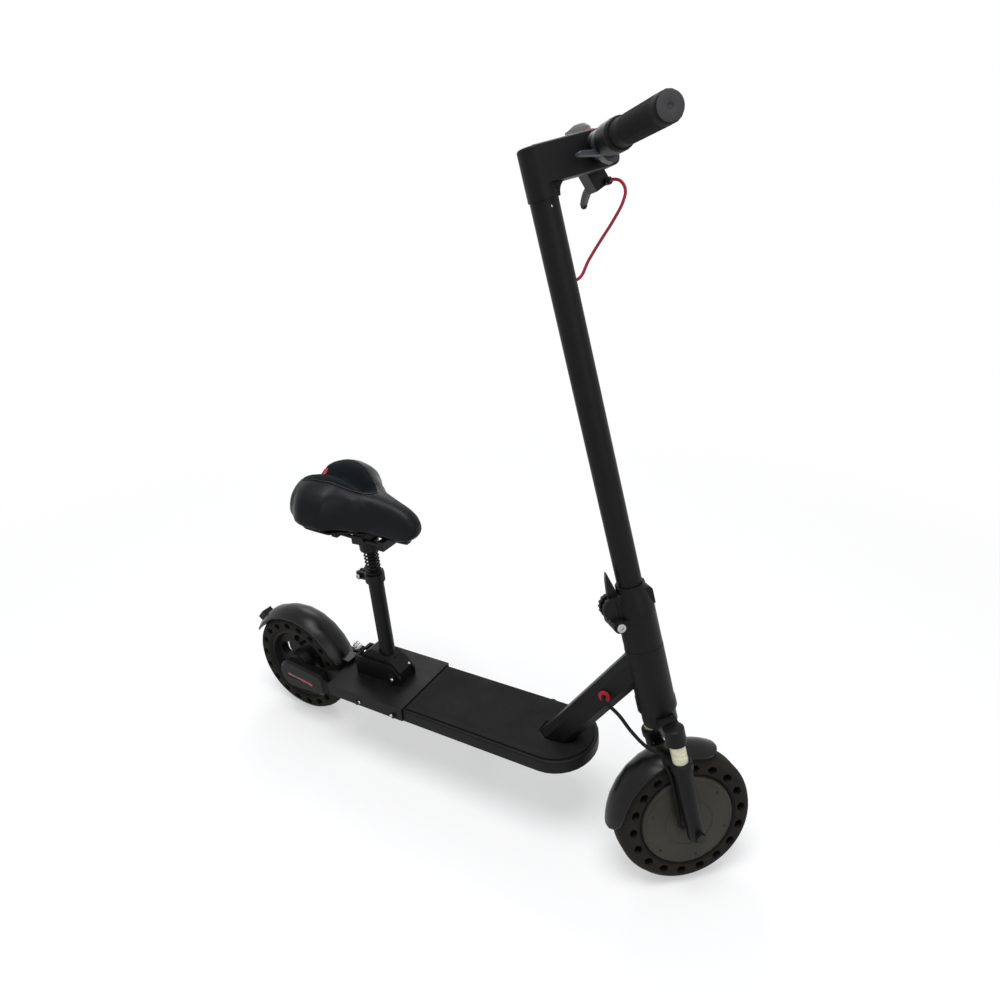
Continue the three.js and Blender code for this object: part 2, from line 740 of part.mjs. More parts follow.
function hubMotor() {
  const bore = AXLE_RADIUS + RUNNING_GAP;
  const seatHalf = TYRE_SEAT_WIDTH / 2;
  const half = [
    [wheelSeat, seatHalf],
    [HUB_COVER_RADIUS, HUB_HALF_WIDTH],
    [HUB_COVER_RADIUS - HUB_DOME, HUB_HALF_WIDTH + HUB_DOME / 2],
    [HUB_BOSS_RADIUS, HUB_HALF_WIDTH + HUB_DOME],
    [HUB_BOSS_RADIUS, HUB_HALF_WIDTH + HUB_DOME + HUB_BOSS_HEIGHT],
    [bore, HUB_HALF_WIDTH + HUB_DOME + HUB_BOSS_HEIGHT],
  ];
  const mirror = [...half].reverse().map(([radius, y]) => [radius, -y]);
  return turned([...mirror, ...half, mirror[0]], TYRE_SIDES, wheelPhase);
}

function rearRim() {
  const bore = AXLE_RADIUS + RUNNING_GAP;
  const inner = wheelSeat - RIM_WALL;
  const half = [
    [wheelSeat, RIM_HALF_WIDTH],
    [inner, RIM_HALF_WIDTH],
    [inner - RIM_WALL, RIM_WEB_HALF],
    [REAR_HUB_RADIUS + RIM_WALL, RIM_WEB_HALF],
    [REAR_HUB_RADIUS, REAR_HUB_HALF],
    [bore, REAR_HUB_HALF],
  ];
  const mirror = [...half].reverse().map(([radius, y]) => [radius, -y]);
  const body = turned([...mirror, ...half, mirror[0]], TYRE_SIDES, wheelPhase);
  const reach = RIM_WEB_HALF + OVERRUN;
  const windows = [];
  for (let i = 0; i < WINDOW_COUNT; i += 1) {
    const angle = (i * 2 * Math.PI) / WINDOW_COUNT;
    windows.push(slabY(windowShape(), -reach, reach, WINDOW_SIDES).rotateY(angle));
  }
  return cut(body, ...windows);
}

// A pear-shaped window between two spokes
function windowShape() {
  const shape = new THREE.Shape();
  const outerCentre = WINDOW_OUTER_RADIUS - WINDOW_OUTER_HALF;
  const innerCentre = WINDOW_INNER_RADIUS + WINDOW_INNER_HALF;
  shape.absarc(0, outerCentre, WINDOW_OUTER_HALF, 0, Math.PI);
  shape.absarc(0, innerCentre, WINDOW_INNER_HALF, Math.PI, 2 * Math.PI);
  return shape;
}

const discInner = REAR_HUB_HALF + GAP;

function brakeDisc() {
  const profile = tubeProfile(AXLE_RADIUS + RUNNING_GAP, DISC_RADIUS, discInner, discInner + DISC_THICKNESS);
  const disc = turned(profile, TYRE_SIDES);
  const holes = [];
  for (let i = 0; i < DISC_HOLE_COUNT; i += 1) {
    const angle = (i * 2 * Math.PI) / DISC_HOLE_COUNT;
    const far = vector(0, discInner + DISC_THICKNESS + OVERRUN, 0);
    const hole = rod(DISC_HOLE_RADIUS, vector(0, 0, 0), far, HEX_SIDES);
    holes.push(hole.translate(0, 0, DISC_HOLE_RING).rotateY(angle));
  }
  return cut(disc, ...holes);
}

// A crowned strip that follows the wheel between two angles
function fenderShell(fromDegrees, toDegrees, outerLift, innerLift) {
  const rings = FENDER_STATION_SHARES.map((station) => {
    const angle = THREE.MathUtils.degToRad(THREE.MathUtils.lerp(fromDegrees, toDegrees, station));
    const fromEnd = Math.min(station, 1 - station, FENDER_ROUND_SHARE) / FENDER_ROUND_SHARE;
    const width = THREE.MathUtils.lerp(FENDER_TIP_SHARE, 1, Math.sqrt(1 - (1 - fromEnd) ** 2));
    const at = (share, lift) => {
      const radius = FENDER_RADIUS - FENDER_CROWN * (share * width) ** 2 + lift;
      return vector(radius * Math.cos(angle), share * width * FENDER_HALF_WIDTH, radius * Math.sin(angle));
    };
    const top = FENDER_SHARES.map((share) => at(share, outerLift));
    const under = [...FENDER_SHARES].reverse().map((share) => at(share, innerLift));
    return [...top, ...under];
  });
  return loft(rings);
}

// Front wheel, in the steering frame
function forkLeg() {
  const bore = STANCHION_RADIUS + RUNNING_GAP;
  const sealTop = LEG_TOP - SEAL_LIP;
  const profile = [
    [0, -LEG_FOOT],
    [LEG_TIP_RADIUS, -LEG_FOOT],
    [LEG_RADIUS, -LEG_TIP_RADIUS],
    [LEG_RADIUS, LEG_BORE_FLOOR],
    [LEG_TOP_RADIUS, sealTop - SEAL_HEIGHT - GAP],
    [SEAL_RADIUS, sealTop - SEAL_HEIGHT],
    [SEAL_RADIUS, sealTop],
    [LEG_TOP_RADIUS, LEG_TOP],
    [bore, LEG_TOP],
    [bore, LEG_BORE_FLOOR],
    [0, LEG_BORE_FLOOR],
  ];
  const reach = LEG_RADIUS + OVERRUN;
  const hole = rod(AXLE_RADIUS + GAP, vector(0, -reach, 0), vector(0, reach, 0), ROUND_SIDES);
  return cut(turnedUp(profile, ROUND_SIDES), hole);
}

const axleHalf = LEG_OFFSET + LEG_RADIUS + GAP;

// An axle with a nut outside each end of its span
function axle(half) {
  const end = half + NUT_THICKNESS;
  return join(
    rod(AXLE_RADIUS, vector(0, -end - GAP, 0), vector(0, end + GAP, 0), ROUND_SIDES),
    hexNut(NUT_RADIUS, vector(0, half, 0), vector(0, end, 0)),
    hexNut(NUT_RADIUS, vector(0, -end, 0), vector(0, -half, 0)),
  );
}

function frontFender() {
  const arc = fenderShell(FRONT_FENDER_FRONT_DEGREES, FRONT_FENDER_BACK_DEGREES, 0, -FENDER_THICKNESS);
  const inside = FENDER_HALF_WIDTH - FENDER_THICKNESS;
  const legFace = LEG_OFFSET - LEG_TOP_RADIUS + FENDER_THICKNESS;
  const top = LEG_TOP - SEAL_LIP - SEAL_HEIGHT - GAP;
  const half = FENDER_LUG_DEPTH / 2;
  const lugs = [-1, 1].map((side) => {
    const y = [side * inside, side * legFace].sort((a, b) => a - b);
    return block(-half, half, y[0], y[1], top - FENDER_LUG_HEIGHT, FENDER_RADIUS - FENDER_CROWN);
  });
  const clear = LEG_TOP_RADIUS + GAP;
  const sealClear = SEAL_RADIUS + GAP;
  const legProfile = [
    [0, 0],
    [clear, 0],
    [clear, top],
    [sealClear, top],
    [sealClear, SOCKET_FOOT],
    [0, SOCKET_FOOT],
  ];
  const legs = [-1, 1].map((side) => turnedUp(legProfile).translate(0, side * LEG_OFFSET, 0));
  return cut(join(arc, ...lugs), ...legs);
}

function stanchion() {
  const top = SOCKET_TOP - SOCKET_LID - GAP;
  return rod(STANCHION_RADIUS, vector(0, 0, STANCHION_FOOT), vector(0, 0, top), ROUND_SIDES);
}

function forkCrown() {
  const armTop = SOCKET_TOP;
  const shoulder = LEG_OFFSET + SOCKET_RADIUS / 2;
  const foot = armTop - CROWN_ARM_HEIGHT;
  const arms = outline([
    [-shoulder, foot - CROWN_ARM_DROP],
    [-shoulder, armTop - CROWN_ARM_DROP],
    [-CROWN_RACE_RADIUS, armTop],
    [CROWN_RACE_RADIUS, armTop],
    [shoulder, armTop - CROWN_ARM_DROP],
    [shoulder, foot - CROWN_ARM_DROP],
    [CROWN_RACE_RADIUS, foot],
    [-CROWN_RACE_RADIUS, foot],
  ]);
  const bridge = slabY(arms, -CROWN_ARM_DEPTH / 2, CROWN_ARM_DEPTH / 2).rotateZ(Math.PI / 2);
  const socketTop = SOCKET_TOP - CROWN_ARM_DROP / 2;
  const sockets = [-1, 1].map((side) =>
    turnedUp([
      [0, SOCKET_FOOT],
      [SOCKET_RADIUS, SOCKET_FOOT],
      [SOCKET_RADIUS, socketTop],
      [SOCKET_RADIUS / 2, SOCKET_TOP],
      [0, SOCKET_TOP],
    ]).translate(0, side * LEG_OFFSET, 0),
  );
  const raceTop = HEAD_TUBE_FOOT - GAP;
  const race = rod(CROWN_RACE_RADIUS, vector(0, 0, foot), vector(0, 0, raceTop), ROUND_SIDES);
  const steererTop = FOLD_PIVOT_HEIGHT - FOLD_KNUCKLE_RADIUS;
  const steerer = rod(STEERER_RADIUS, vector(0, 0, foot), vector(0, 0, steererTop), ROUND_SIDES);
  const boreFoot = Math.min(SOCKET_FOOT, foot - CROWN_ARM_DROP) - OVERRUN;
  const bores = [-1, 1].map((side) =>
    rod(
      STANCHION_RADIUS + GAP,
      vector(0, side * LEG_OFFSET, boreFoot),
      vector(0, side * LEG_OFFSET, SOCKET_TOP - SOCKET_LID),
      ROUND_SIDES,
    ),
  );
  const coreFoot = vector(0, 0, foot - OVERRUN);
  const core = rod(STEERER_BORE, coreFoot, vector(0, 0, steererTop + OVERRUN), ROUND_SIDES);
  return cut(join(bridge, ...sockets, race, steerer), ...bores, core);
}

// Fold joint: the base is clamped on the steerer, and the stem hinges on it
function foldDisc(radius, half, centre = [-FOLD_PIVOT_BACK, FOLD_PIVOT_HEIGHT]) {
  return rod(radius, vector(centre[0], -half, centre[1]), vector(centre[0], half, centre[1]), ROUND_SIDES);
}

function foldBase() {
  const column = turnedUp([
    [0, FOLD_FOOT + GAP],
    [FOLD_RADIUS, FOLD_FOOT + GAP],
    [FOLD_RADIUS, FOLD_SEAM - GAP],
    [0, FOLD_SEAM - GAP],
  ]);
  const web = block(
    -FOLD_PIVOT_BACK,
    0,
    -FOLD_EAR_OUTER,
    FOLD_EAR_OUTER,
    FOLD_PIVOT_HEIGHT - FOLD_EAR_RADIUS,
    FOLD_SEAM - GAP,
  );
  const ears = foldDisc(FOLD_EAR_RADIUS, FOLD_EAR_OUTER);
  const clampCut = rod(
    STEERER_RADIUS + GAP,
    vector(0, 0, FOLD_FOOT - OVERRUN),
    vector(0, 0, FOLD_PIVOT_HEIGHT - FOLD_KNUCKLE_RADIUS + GAP),
    ROUND_SIDES,
  );
  const slotHalf = FOLD_KNUCKLE_HALF + RUNNING_GAP;
  const slot = join(
    foldDisc(FOLD_KNUCKLE_RADIUS + RUNNING_GAP, slotHalf),
    block(
      -FOLD_PIVOT_BACK - FOLD_EAR_RADIUS - OVERRUN,
      -FOLD_PIVOT_BACK,
      -slotHalf,
      slotHalf,
      FOLD_PIVOT_HEIGHT - FOLD_EAR_RADIUS - OVERRUN,
      FOLD_PIVOT_HEIGHT + FOLD_EAR_RADIUS + OVERRUN,
    ),
    block(
      -FOLD_PIVOT_BACK,
      -FOLD_PIVOT_BACK + FOLD_KNUCKLE_RADIUS + RUNNING_GAP,
      -slotHalf,
      slotHalf,
      FOLD_PIVOT_HEIGHT,
      FOLD_SEAM + OVERRUN,
    ),
  );
  const boltHole = foldDisc(FOLD_BOLT_RADIUS + GAP, FOLD_EAR_OUTER + OVERRUN);
  return cut(join(column, web, ears), clampCut, slot, boltHole);
}

function foldPivotBolt() {
  const outer = FOLD_EAR_OUTER + GAP;
  const end = outer + FOLD_BOLT_HEAD_HEIGHT;
  const at = (y) => vector(-FOLD_PIVOT_BACK, y, FOLD_PIVOT_HEIGHT);
  const body = join(
    rod(FOLD_BOLT_RADIUS, at(-end), at(end), ROUND_SIDES),
    rod(FOLD_BOLT_HEAD, at(-end), at(-outer), ROUND_SIDES),
    rod(FOLD_BOLT_HEAD, at(outer), at(end), HEX_SIDES),
  );
  return cut(body, hexNut(FOLD_SOCKET_RADIUS, at(-end - OVERRUN), at(-end + FOLD_SOCKET_DEPTH)));
}

function foldClamp() {
  const column = turnedUp([
    [0, FOLD_SEAM],
    [FOLD_RADIUS, FOLD_SEAM],
    [FOLD_RADIUS, CLAMP_BLOCK_FOOT],
    [CLAMP_TOP_RADIUS, CLAMP_BLOCK_TOP],
    [CLAMP_TOP_RADIUS, FOLD_TOP],
    [0, FOLD_TOP],
  ]);
  const nose = new THREE.Shape();
  const bend = CLAMP_BLOCK_REACH - STEM_RADIUS;
  nose.moveTo(0, CLAMP_BLOCK_FOOT);
  nose.lineTo(CLAMP_BLOCK_REACH, CLAMP_BLOCK_FOOT);
  nose.lineTo(CLAMP_BLOCK_REACH, CLAMP_BLOCK_TOP - bend);
  nose.quadraticCurveTo(CLAMP_BLOCK_REACH, CLAMP_BLOCK_TOP, CLAMP_BLOCK_REACH - bend, CLAMP_BLOCK_TOP);
  nose.lineTo(0, CLAMP_BLOCK_TOP);
  const noseBlock = slabY(nose, -CLAMP_BLOCK_HALF, CLAMP_BLOCK_HALF);
  const knuckle = foldDisc(FOLD_KNUCKLE_RADIUS, FOLD_KNUCKLE_HALF);
  const web = block(
    -CLAMP_PAD_BACK,
    0,
    -FOLD_KNUCKLE_HALF,
    FOLD_KNUCKLE_HALF,
    FOLD_SEAM,
    FOLD_PIVOT_HEIGHT + FOLD_KNUCKLE_RADIUS,
  );
  const pad = block(-CLAMP_PAD_BACK, 0, -FOLD_KNUCKLE_HALF, FOLD_KNUCKLE_HALF, FOLD_SEAM, HOUSING_TOP);
  const stemBore = rod(
    STEM_RADIUS + GAP,
    vector(0, 0, STEM_FOOT - GAP),
    vector(0, 0, FOLD_TOP + OVERRUN),
    STEM_SIDES,
  );
  const slotHalf = LEVER_HALF + RUNNING_GAP;
  const leverSlot = join(
    foldDisc(CAM_HUB_RADIUS + RUNNING_GAP, slotHalf, [-CAM_BACK, CAM_HEIGHT]),
    block(
      -CLAMP_PAD_BACK - OVERRUN,
      -CAM_BACK,
      -slotHalf,
      slotHalf,
      CAM_HEIGHT - CAM_HUB_RADIUS - RUNNING_GAP,
      FOLD_TOP + OVERRUN,
    ),
    block(
      -CLAMP_PAD_BACK,
      -CAM_BACK + CAM_HUB_RADIUS + RUNNING_GAP,
      -slotHalf,
      slotHalf,
      CAM_HEIGHT,
      FOLD_TOP + OVERRUN,
    ),
  );
  const boltHole = foldDisc(FOLD_BOLT_RADIUS + GAP, FOLD_EAR_OUTER + OVERRUN);
  const camHole = foldDisc(CAM_PIN_RADIUS + GAP, FOLD_RADIUS + OVERRUN, [-CAM_BACK, CAM_HEIGHT]);
  return cut(join(column, noseBlock, knuckle, web, pad), stemBore, leverSlot, boltHole, camHole);
}

function camDisc(radius, half) {
  return foldDisc(radius, half, [-CAM_BACK, CAM_HEIGHT]);
}

// The lever stands between the two cheeks of the housing, with its horn up behind the stem
function foldLever() {
  const hornFoot = CAM_HEIGHT + CAM_HUB_RADIUS / 2;
  const horn = outline([
    [-CAM_BACK - CAM_HUB_RADIUS, CAM_HEIGHT],
    [-CAM_BACK + CAM_HUB_RADIUS - GAP, CAM_HEIGHT],
    [-CAM_BACK + CAM_HUB_RADIUS / 2, hornFoot + LEVER_HORN_WIDTH],
    [-LEVER_HORN_BACK, LEVER_HORN_TOP],
    [-LEVER_HORN_BACK - CAM_HUB_RADIUS / 2, LEVER_HORN_TOP - LEVER_HORN_WIDTH],
    [-CAM_BACK - LEVER_HORN_WIDTH, hornFoot],
  ]);
  return join(
    camDisc(CAM_HUB_RADIUS, LEVER_HALF),
    slabY(horn, -LEVER_HALF, LEVER_HALF),
    camDisc(CAM_PIN_RADIUS, HOUSING_HALF),
  );
}

// Two ribbed half discs with a bridge under the lever
function latchHousing() {
  const cheek = new THREE.Shape();
  const centre = [-CLAMP_PAD_BACK - GAP, HOUSING_HEIGHT];
  cheek.moveTo(centre[0], centre[1] - HOUSING_RADIUS);
  const notches = HOUSING_RIBS * 2;
  for (let i = 0; i <= notches; i += 1) {
    const angle = (1.5 - i / notches) * Math.PI;
    const radius = HOUSING_RADIUS - (i % 2) * HOUSING_RIB_DEPTH;
    cheek.lineTo(centre[0] + radius * Math.cos(angle), centre[1] + radius * Math.sin(angle));
  }
  const body = slabY(cheek, -HOUSING_HALF, HOUSING_HALF);
  const slotHalf = LEVER_HALF + RUNNING_GAP;
  const far = -CLAMP_PAD_BACK - HOUSING_RADIUS - OVERRUN;
  const slotFoot = HOUSING_HEIGHT - HOUSING_RADIUS / 2;
  const slotTop = HOUSING_HEIGHT + HOUSING_RADIUS + OVERRUN;
  const slot = block(far, -CAM_BACK, -slotHalf, slotHalf, slotFoot, slotTop);
  const knuckle = foldDisc(FOLD_KNUCKLE_RADIUS + RUNNING_GAP, HOUSING_HALF + OVERRUN);
  const above = block(far, 0, -FOLD_RADIUS, FOLD_RADIUS, HOUSING_TOP, HOUSING_TOP + HOUSING_RADIUS);
  return cut(body, slot, knuckle, above);
}

function stemTube() {
  const top = HEAD_FOOT + STEM_INSERT;
  const body = turnedUp(tubeProfile(STEM_BORE, STEM_RADIUS, STEM_FOOT, top), STEM_SIDES);
  const hole = rod(
    BRAKE_CABLE_DIAMETER / 2 + RUNNING_GAP * 2,
    vector(0, 0, STEM_GROMMET_HEIGHT),
    vector(STEM_RADIUS + OVERRUN, 0, STEM_GROMMET_HEIGHT),
  );
  return cut(body, hole);
}

// A shape in X and Z drawn through evenly about the middle, with rounded side edges
function softSlab(shape, half, edge) {
  const geometry = new THREE.ExtrudeGeometry(shape, {
    depth: 2 * (half - edge),
    bevelSize: edge,
    bevelOffset: -edge,
    bevelThickness: edge,
    bevelSegments: EDGE_STEPS / 2,
    curveSegments: EDGE_STEPS,
  });
  return geometry.rotateX(Math.PI / 2).translate(0, half - edge, 0);
}

function displayHead() {
  const side = new THREE.Shape();
  side.moveTo(-HEAD_EDGE, HEAD_FOOT);
  side.lineTo(HEAD_FRONT - HEAD_CORNER, HEAD_FOOT);
  side.quadraticCurveTo(HEAD_FRONT, HEAD_FOOT, HEAD_FRONT, HEAD_FOOT + HEAD_CORNER);
  side.lineTo(HEAD_FRONT, HEAD_TOP - HEAD_CORNER);
  side.quadraticCurveTo(HEAD_FRONT, HEAD_TOP, HEAD_FRONT - HEAD_CORNER, HEAD_TOP);
  side.lineTo(-HEAD_EDGE, HEAD_TOP);
  const arm = softSlab(side, HEAD_HALF_WIDTH, HEAD_EDGE);
  const back = turnedUp(
    [
      [0, HEAD_FOOT - HEAD_SKIRT],
      [HEAD_HALF_WIDTH, HEAD_FOOT - HEAD_SKIRT],
      [HEAD_HALF_WIDTH, HEAD_TOP - HEAD_EDGE],
      [HEAD_HALF_WIDTH - HEAD_EDGE / 3, HEAD_TOP - HEAD_EDGE / 3],
      [HEAD_HALF_WIDTH - HEAD_EDGE, HEAD_TOP],
      [0, HEAD_TOP],
    ],
    STEM_SIDES,
  );
  const corner = new THREE.Shape();
  corner.moveTo(0, HEAD_FOOT - HEAD_SKIRT);
  corner.lineTo(STEM_RADIUS, HEAD_FOOT - HEAD_SKIRT);
  corner.quadraticCurveTo(STEM_RADIUS, HEAD_FOOT, STEM_RADIUS + HEAD_GUSSET, HEAD_FOOT + HEAD_EDGE);
  corner.lineTo(0, HEAD_FOOT + HEAD_EDGE);
  const gusset = slabY(corner, -HEAD_GUSSET_HALF, HEAD_GUSSET_HALF);
  const stemTop = HEAD_FOOT + STEM_INSERT + GAP;
  const socket = rod(
    STEM_RADIUS + GAP,
    vector(0, 0, HEAD_FOOT - HEAD_SKIRT - OVERRUN),
    vector(0, 0, stemTop),
    STEM_SIDES,
  );
  const barHole = rod(
    BAR_RADIUS + GAP,
    vector(BAR_FORWARD, -HEAD_HALF_WIDTH - OVERRUN, BAR_HEIGHT),
    vector(BAR_FORWARD, HEAD_HALF_WIDTH + OVERRUN, BAR_HEIGHT),
    ROUND_SIDES,
  );
  const panelHalf = PANEL_WIDTH / 2 + GAP;
  const recess = block(
    PANEL_START - GAP,
    PANEL_START + PANEL_LENGTH + GAP,
    -panelHalf,
    panelHalf,
    HEAD_TOP - PANEL_RECESS,
    HEAD_TOP + OVERRUN,
  );
  const buttonFoot = HEAD_TOP + BUTTON_PROUD - BUTTON_HEIGHT - BUTTON_TRAVEL - GAP;
  const buttonWell = rod(
    BUTTON_RADIUS + GAP,
    vector(buttonForward, 0, buttonFoot),
    vector(buttonForward, 0, HEAD_TOP + OVERRUN),
    ROUND_SIDES,
  );
  const lampWell = rod(
    LAMP_RADIUS + GAP,
    vector(HEAD_FRONT - LAMP_DEPTH + LAMP_PROUD - GAP, 0, BAR_HEIGHT),
    vector(HEAD_FRONT + OVERRUN, 0, BAR_HEIGHT),
    ROUND_SIDES,
  );
  return cut(join(arm, back, gusset), socket, barHole, recess, buttonWell, lampWell);
}

const buttonForward = PANEL_START + PANEL_LENGTH + BUTTON_SETBACK + BUTTON_RADIUS * 1.5;

function displayPanel() {
  const foot = HEAD_TOP - PANEL_RECESS + GAP;
  const plate = outline([
    [PANEL_START, -PANEL_WIDTH / 2],
    [PANEL_START + PANEL_LENGTH, -PANEL_WIDTH / 2],
    [PANEL_START + PANEL_LENGTH, PANEL_WIDTH / 2],
    [PANEL_START, PANEL_WIDTH / 2],
  ]);
  return slabZ(plate, foot, foot + PANEL_THICKNESS);
}

function powerButton() {
  const top = HEAD_TOP + BUTTON_PROUD;
  return turnedUp([
    [0, top - BUTTON_HEIGHT],
    [BUTTON_RADIUS, top - BUTTON_HEIGHT],
    [BUTTON_RADIUS, top - BUTTON_PROUD / 2],
    [BUTTON_RADIUS - BUTTON_PROUD / 2, top],
    [0, top],
  ]).translate(buttonForward, 0, 0);
}

function headlight() {
  const back = HEAD_FRONT - LAMP_DEPTH + LAMP_PROUD;
  return turned([
    [0, 0],
    [LAMP_RADIUS, 0],
    [LAMP_RADIUS, LAMP_DEPTH - LAMP_PROUD],
    [LAMP_RADIUS * LAMP_DOME_SHARE, LAMP_DEPTH - LAMP_PROUD / 3],
    [0, LAMP_DEPTH],
  ])
    .rotateZ(-Math.PI / 2)
    .translate(back, 0, BAR_HEIGHT);
}

// Bars and controls, in a frame on the bar's own axis
const barBore = BAR_RADIUS + GAP;

function handlebar() {
  return turned(tubeProfile(BAR_RADIUS - FENDER_THICKNESS + GAP * 2, BAR_RADIUS, -BAR_HALF, BAR_HALF));
}

function grip(side) {
  const first = GRIP_START + GRIP_FLANGE_WIDTH;
  const rings = [[barBore, GRIP_START], [GRIP_FLANGE, GRIP_START], [GRIP_FLANGE, first]];
  rings.push([GRIP_RADIUS, first], [GRIP_RADIUS, GRIP_END - GRIP_FLANGE_WIDTH]);
  rings.push([GRIP_RADIUS - GRIP_FLANGE_WIDTH / 2, GRIP_END], [GRIP_HOLE, GRIP_END]);
  rings.push([GRIP_HOLE, BAR_HALF + GAP], [barBore, BAR_HALF + GAP], rings[0]);
  const body = turned(rings);
  return side > 0 ? body : body.rotateZ(Math.PI);
}

const throttleHubOuter = THROTTLE_INNER - GAP;
const throttleHubInner = THROTTLE_COLLAR_OUTER + GAP;
const throttleSleeve = BAR_RADIUS + 2 * RUNNING_GAP + GAP;

function throttleHousing() {
  return turned([
    [barBore, -THROTTLE_OUTER],
    [THROTTLE_RADIUS - FENDER_THICKNESS / 2, -THROTTLE_OUTER],
    [THROTTLE_RADIUS, -THROTTLE_OUTER + FENDER_THICKNESS],
    [THROTTLE_RADIUS, -THROTTLE_INNER],
    [throttleSleeve, -THROTTLE_INNER],
    [throttleSleeve, -THROTTLE_COLLAR_OUTER],
    [THROTTLE_COLLAR_RADIUS, -THROTTLE_COLLAR_OUTER],
    [THROTTLE_COLLAR_RADIUS, -THROTTLE_COLLAR_INNER],
    [barBore, -THROTTLE_COLLAR_INNER],
    [barBore, -THROTTLE_OUTER],
  ]);
}

// The thumb blade reaches back under the bar, towards the rider
function throttleLever() {
  const bore = throttleSleeve + RUNNING_GAP / 2;
  const hub = turned(tubeProfile(bore, THROTTLE_HUB_RADIUS, -throttleHubOuter, -throttleHubInner));
  const reach = THROTTLE_BLADE_REACH;
  const blade = outline(BLADE_SHARES.map(([back, down]) => [-back * reach, -down * reach]));
  const paddle = slabY(blade, -throttleHubOuter, -throttleHubInner);
  const middle = (throttleHubOuter + throttleHubInner) / 2;
  const core = rod(bore, vector(0, -middle - reach, 0), vector(0, -middle + reach, 0), ROUND_SIDES);
  return cut(join(hub, paddle), core);
}

function brakeBracket() {
  const ring = turned(tubeProfile(barBore, BRAKE_RING_RADIUS, BRAKE_RING_INNER, BRAKE_RING_OUTER));
  const cheekOuter = BRAKE_LEVER_THICKNESS / 2 + BRAKE_CHEEK;
  const body = block(
    -cheekOuter,
    BRAKE_BARREL_FORWARD + BRAKE_BARREL_RADIUS,
    BRAKE_RING_INNER,
    BRAKE_PIVOT_OUT + BRAKE_LUG_RADIUS,
    -BRAKE_PIVOT_DROP - BRAKE_LUG_RADIUS,
    -BAR_RADIUS - GAP,
  );
  const barrelAt = (y) => vector(BRAKE_BARREL_FORWARD, y, -BRAKE_BARREL_DROP);
  const barrelFrom = barrelAt(BRAKE_RING_INNER - BRAKE_BARREL_LENGTH);
  const barrel = rod(BRAKE_BARREL_RADIUS, barrelFrom, barrelAt(BRAKE_RING_INNER + GAP));
  const slotHalf = BRAKE_LEVER_THICKNESS / 2 + GAP;
  const slot = block(
    -slotHalf,
    slotHalf,
    BRAKE_PIVOT_OUT - BRAKE_LUG_RADIUS - GAP * 2,
    BRAKE_PIVOT_OUT + BRAKE_LUG_RADIUS + OVERRUN,
    -BRAKE_PIVOT_DROP - BRAKE_LUG_RADIUS - OVERRUN,
    -BAR_RADIUS,
  );
  const pinHole = rod(
    BRAKE_PIN_RADIUS + GAP,
    vector(-cheekOuter - OVERRUN, BRAKE_PIVOT_OUT, -BRAKE_PIVOT_DROP),
    vector(cheekOuter + OVERRUN, BRAKE_PIVOT_OUT, -BRAKE_PIVOT_DROP),
  );
  const cableHole = rod(
    BRAKE_CABLE_DIAMETER / 2 + GAP,
    barrelFrom.clone().sub(vector(0, OVERRUN, 0)),
    barrelFrom.clone().add(vector(0, BRAKE_BARREL_LENGTH, 0)),
  );
  return cut(join(ring, body, barrel), slot, pinHole, cableHole);
}

// A short curved blade with a ball at its end
function brakeLever() {
  const half = BRAKE_LEVER_THICKNESS / 2;
  const blade = new THREE.Shape();
  const end = [BRAKE_PIVOT_OUT + BRAKE_LEVER_LENGTH, -BRAKE_PIVOT_DROP - BRAKE_LEVER_BOW];
  const bend = [BRAKE_PIVOT_OUT + BRAKE_LEVER_LENGTH / 3, -BRAKE_PIVOT_DROP];
  const thick = BRAKE_LEVER_WIDTH / 2;
  blade.moveTo(BRAKE_PIVOT_OUT, -BRAKE_PIVOT_DROP + thick);
  blade.quadraticCurveTo(bend[0] + thick, bend[1] + thick, end[0] + thick / 2, end[1] + thick);
  blade.lineTo(end[0] - thick / 2, end[1] - thick / 2);
  blade.quadraticCurveTo(bend[0] - thick, bend[1] - thick, BRAKE_PIVOT_OUT, -BRAKE_PIVOT_DROP - thick);
  const arm = slabY(blade, -half, half, HEX_SIDES).rotateZ(Math.PI / 2);
  const at = (x) => vector(x, BRAKE_PIVOT_OUT, -BRAKE_PIVOT_DROP);
  const lug = rod(BRAKE_LUG_RADIUS, at(-half), at(half), ROUND_SIDES);
  const pinEnd = half + BRAKE_CHEEK;
  const pin = rod(BRAKE_PIN_RADIUS, at(-pinEnd), at(pinEnd));
  const ball = new THREE.SphereGeometry(BRAKE_BALL_RADIUS, SMALL_SIDES, HEX_SIDES);
  return join(arm, lug, pin, ball.translate(0, end[0], end[1]));
}

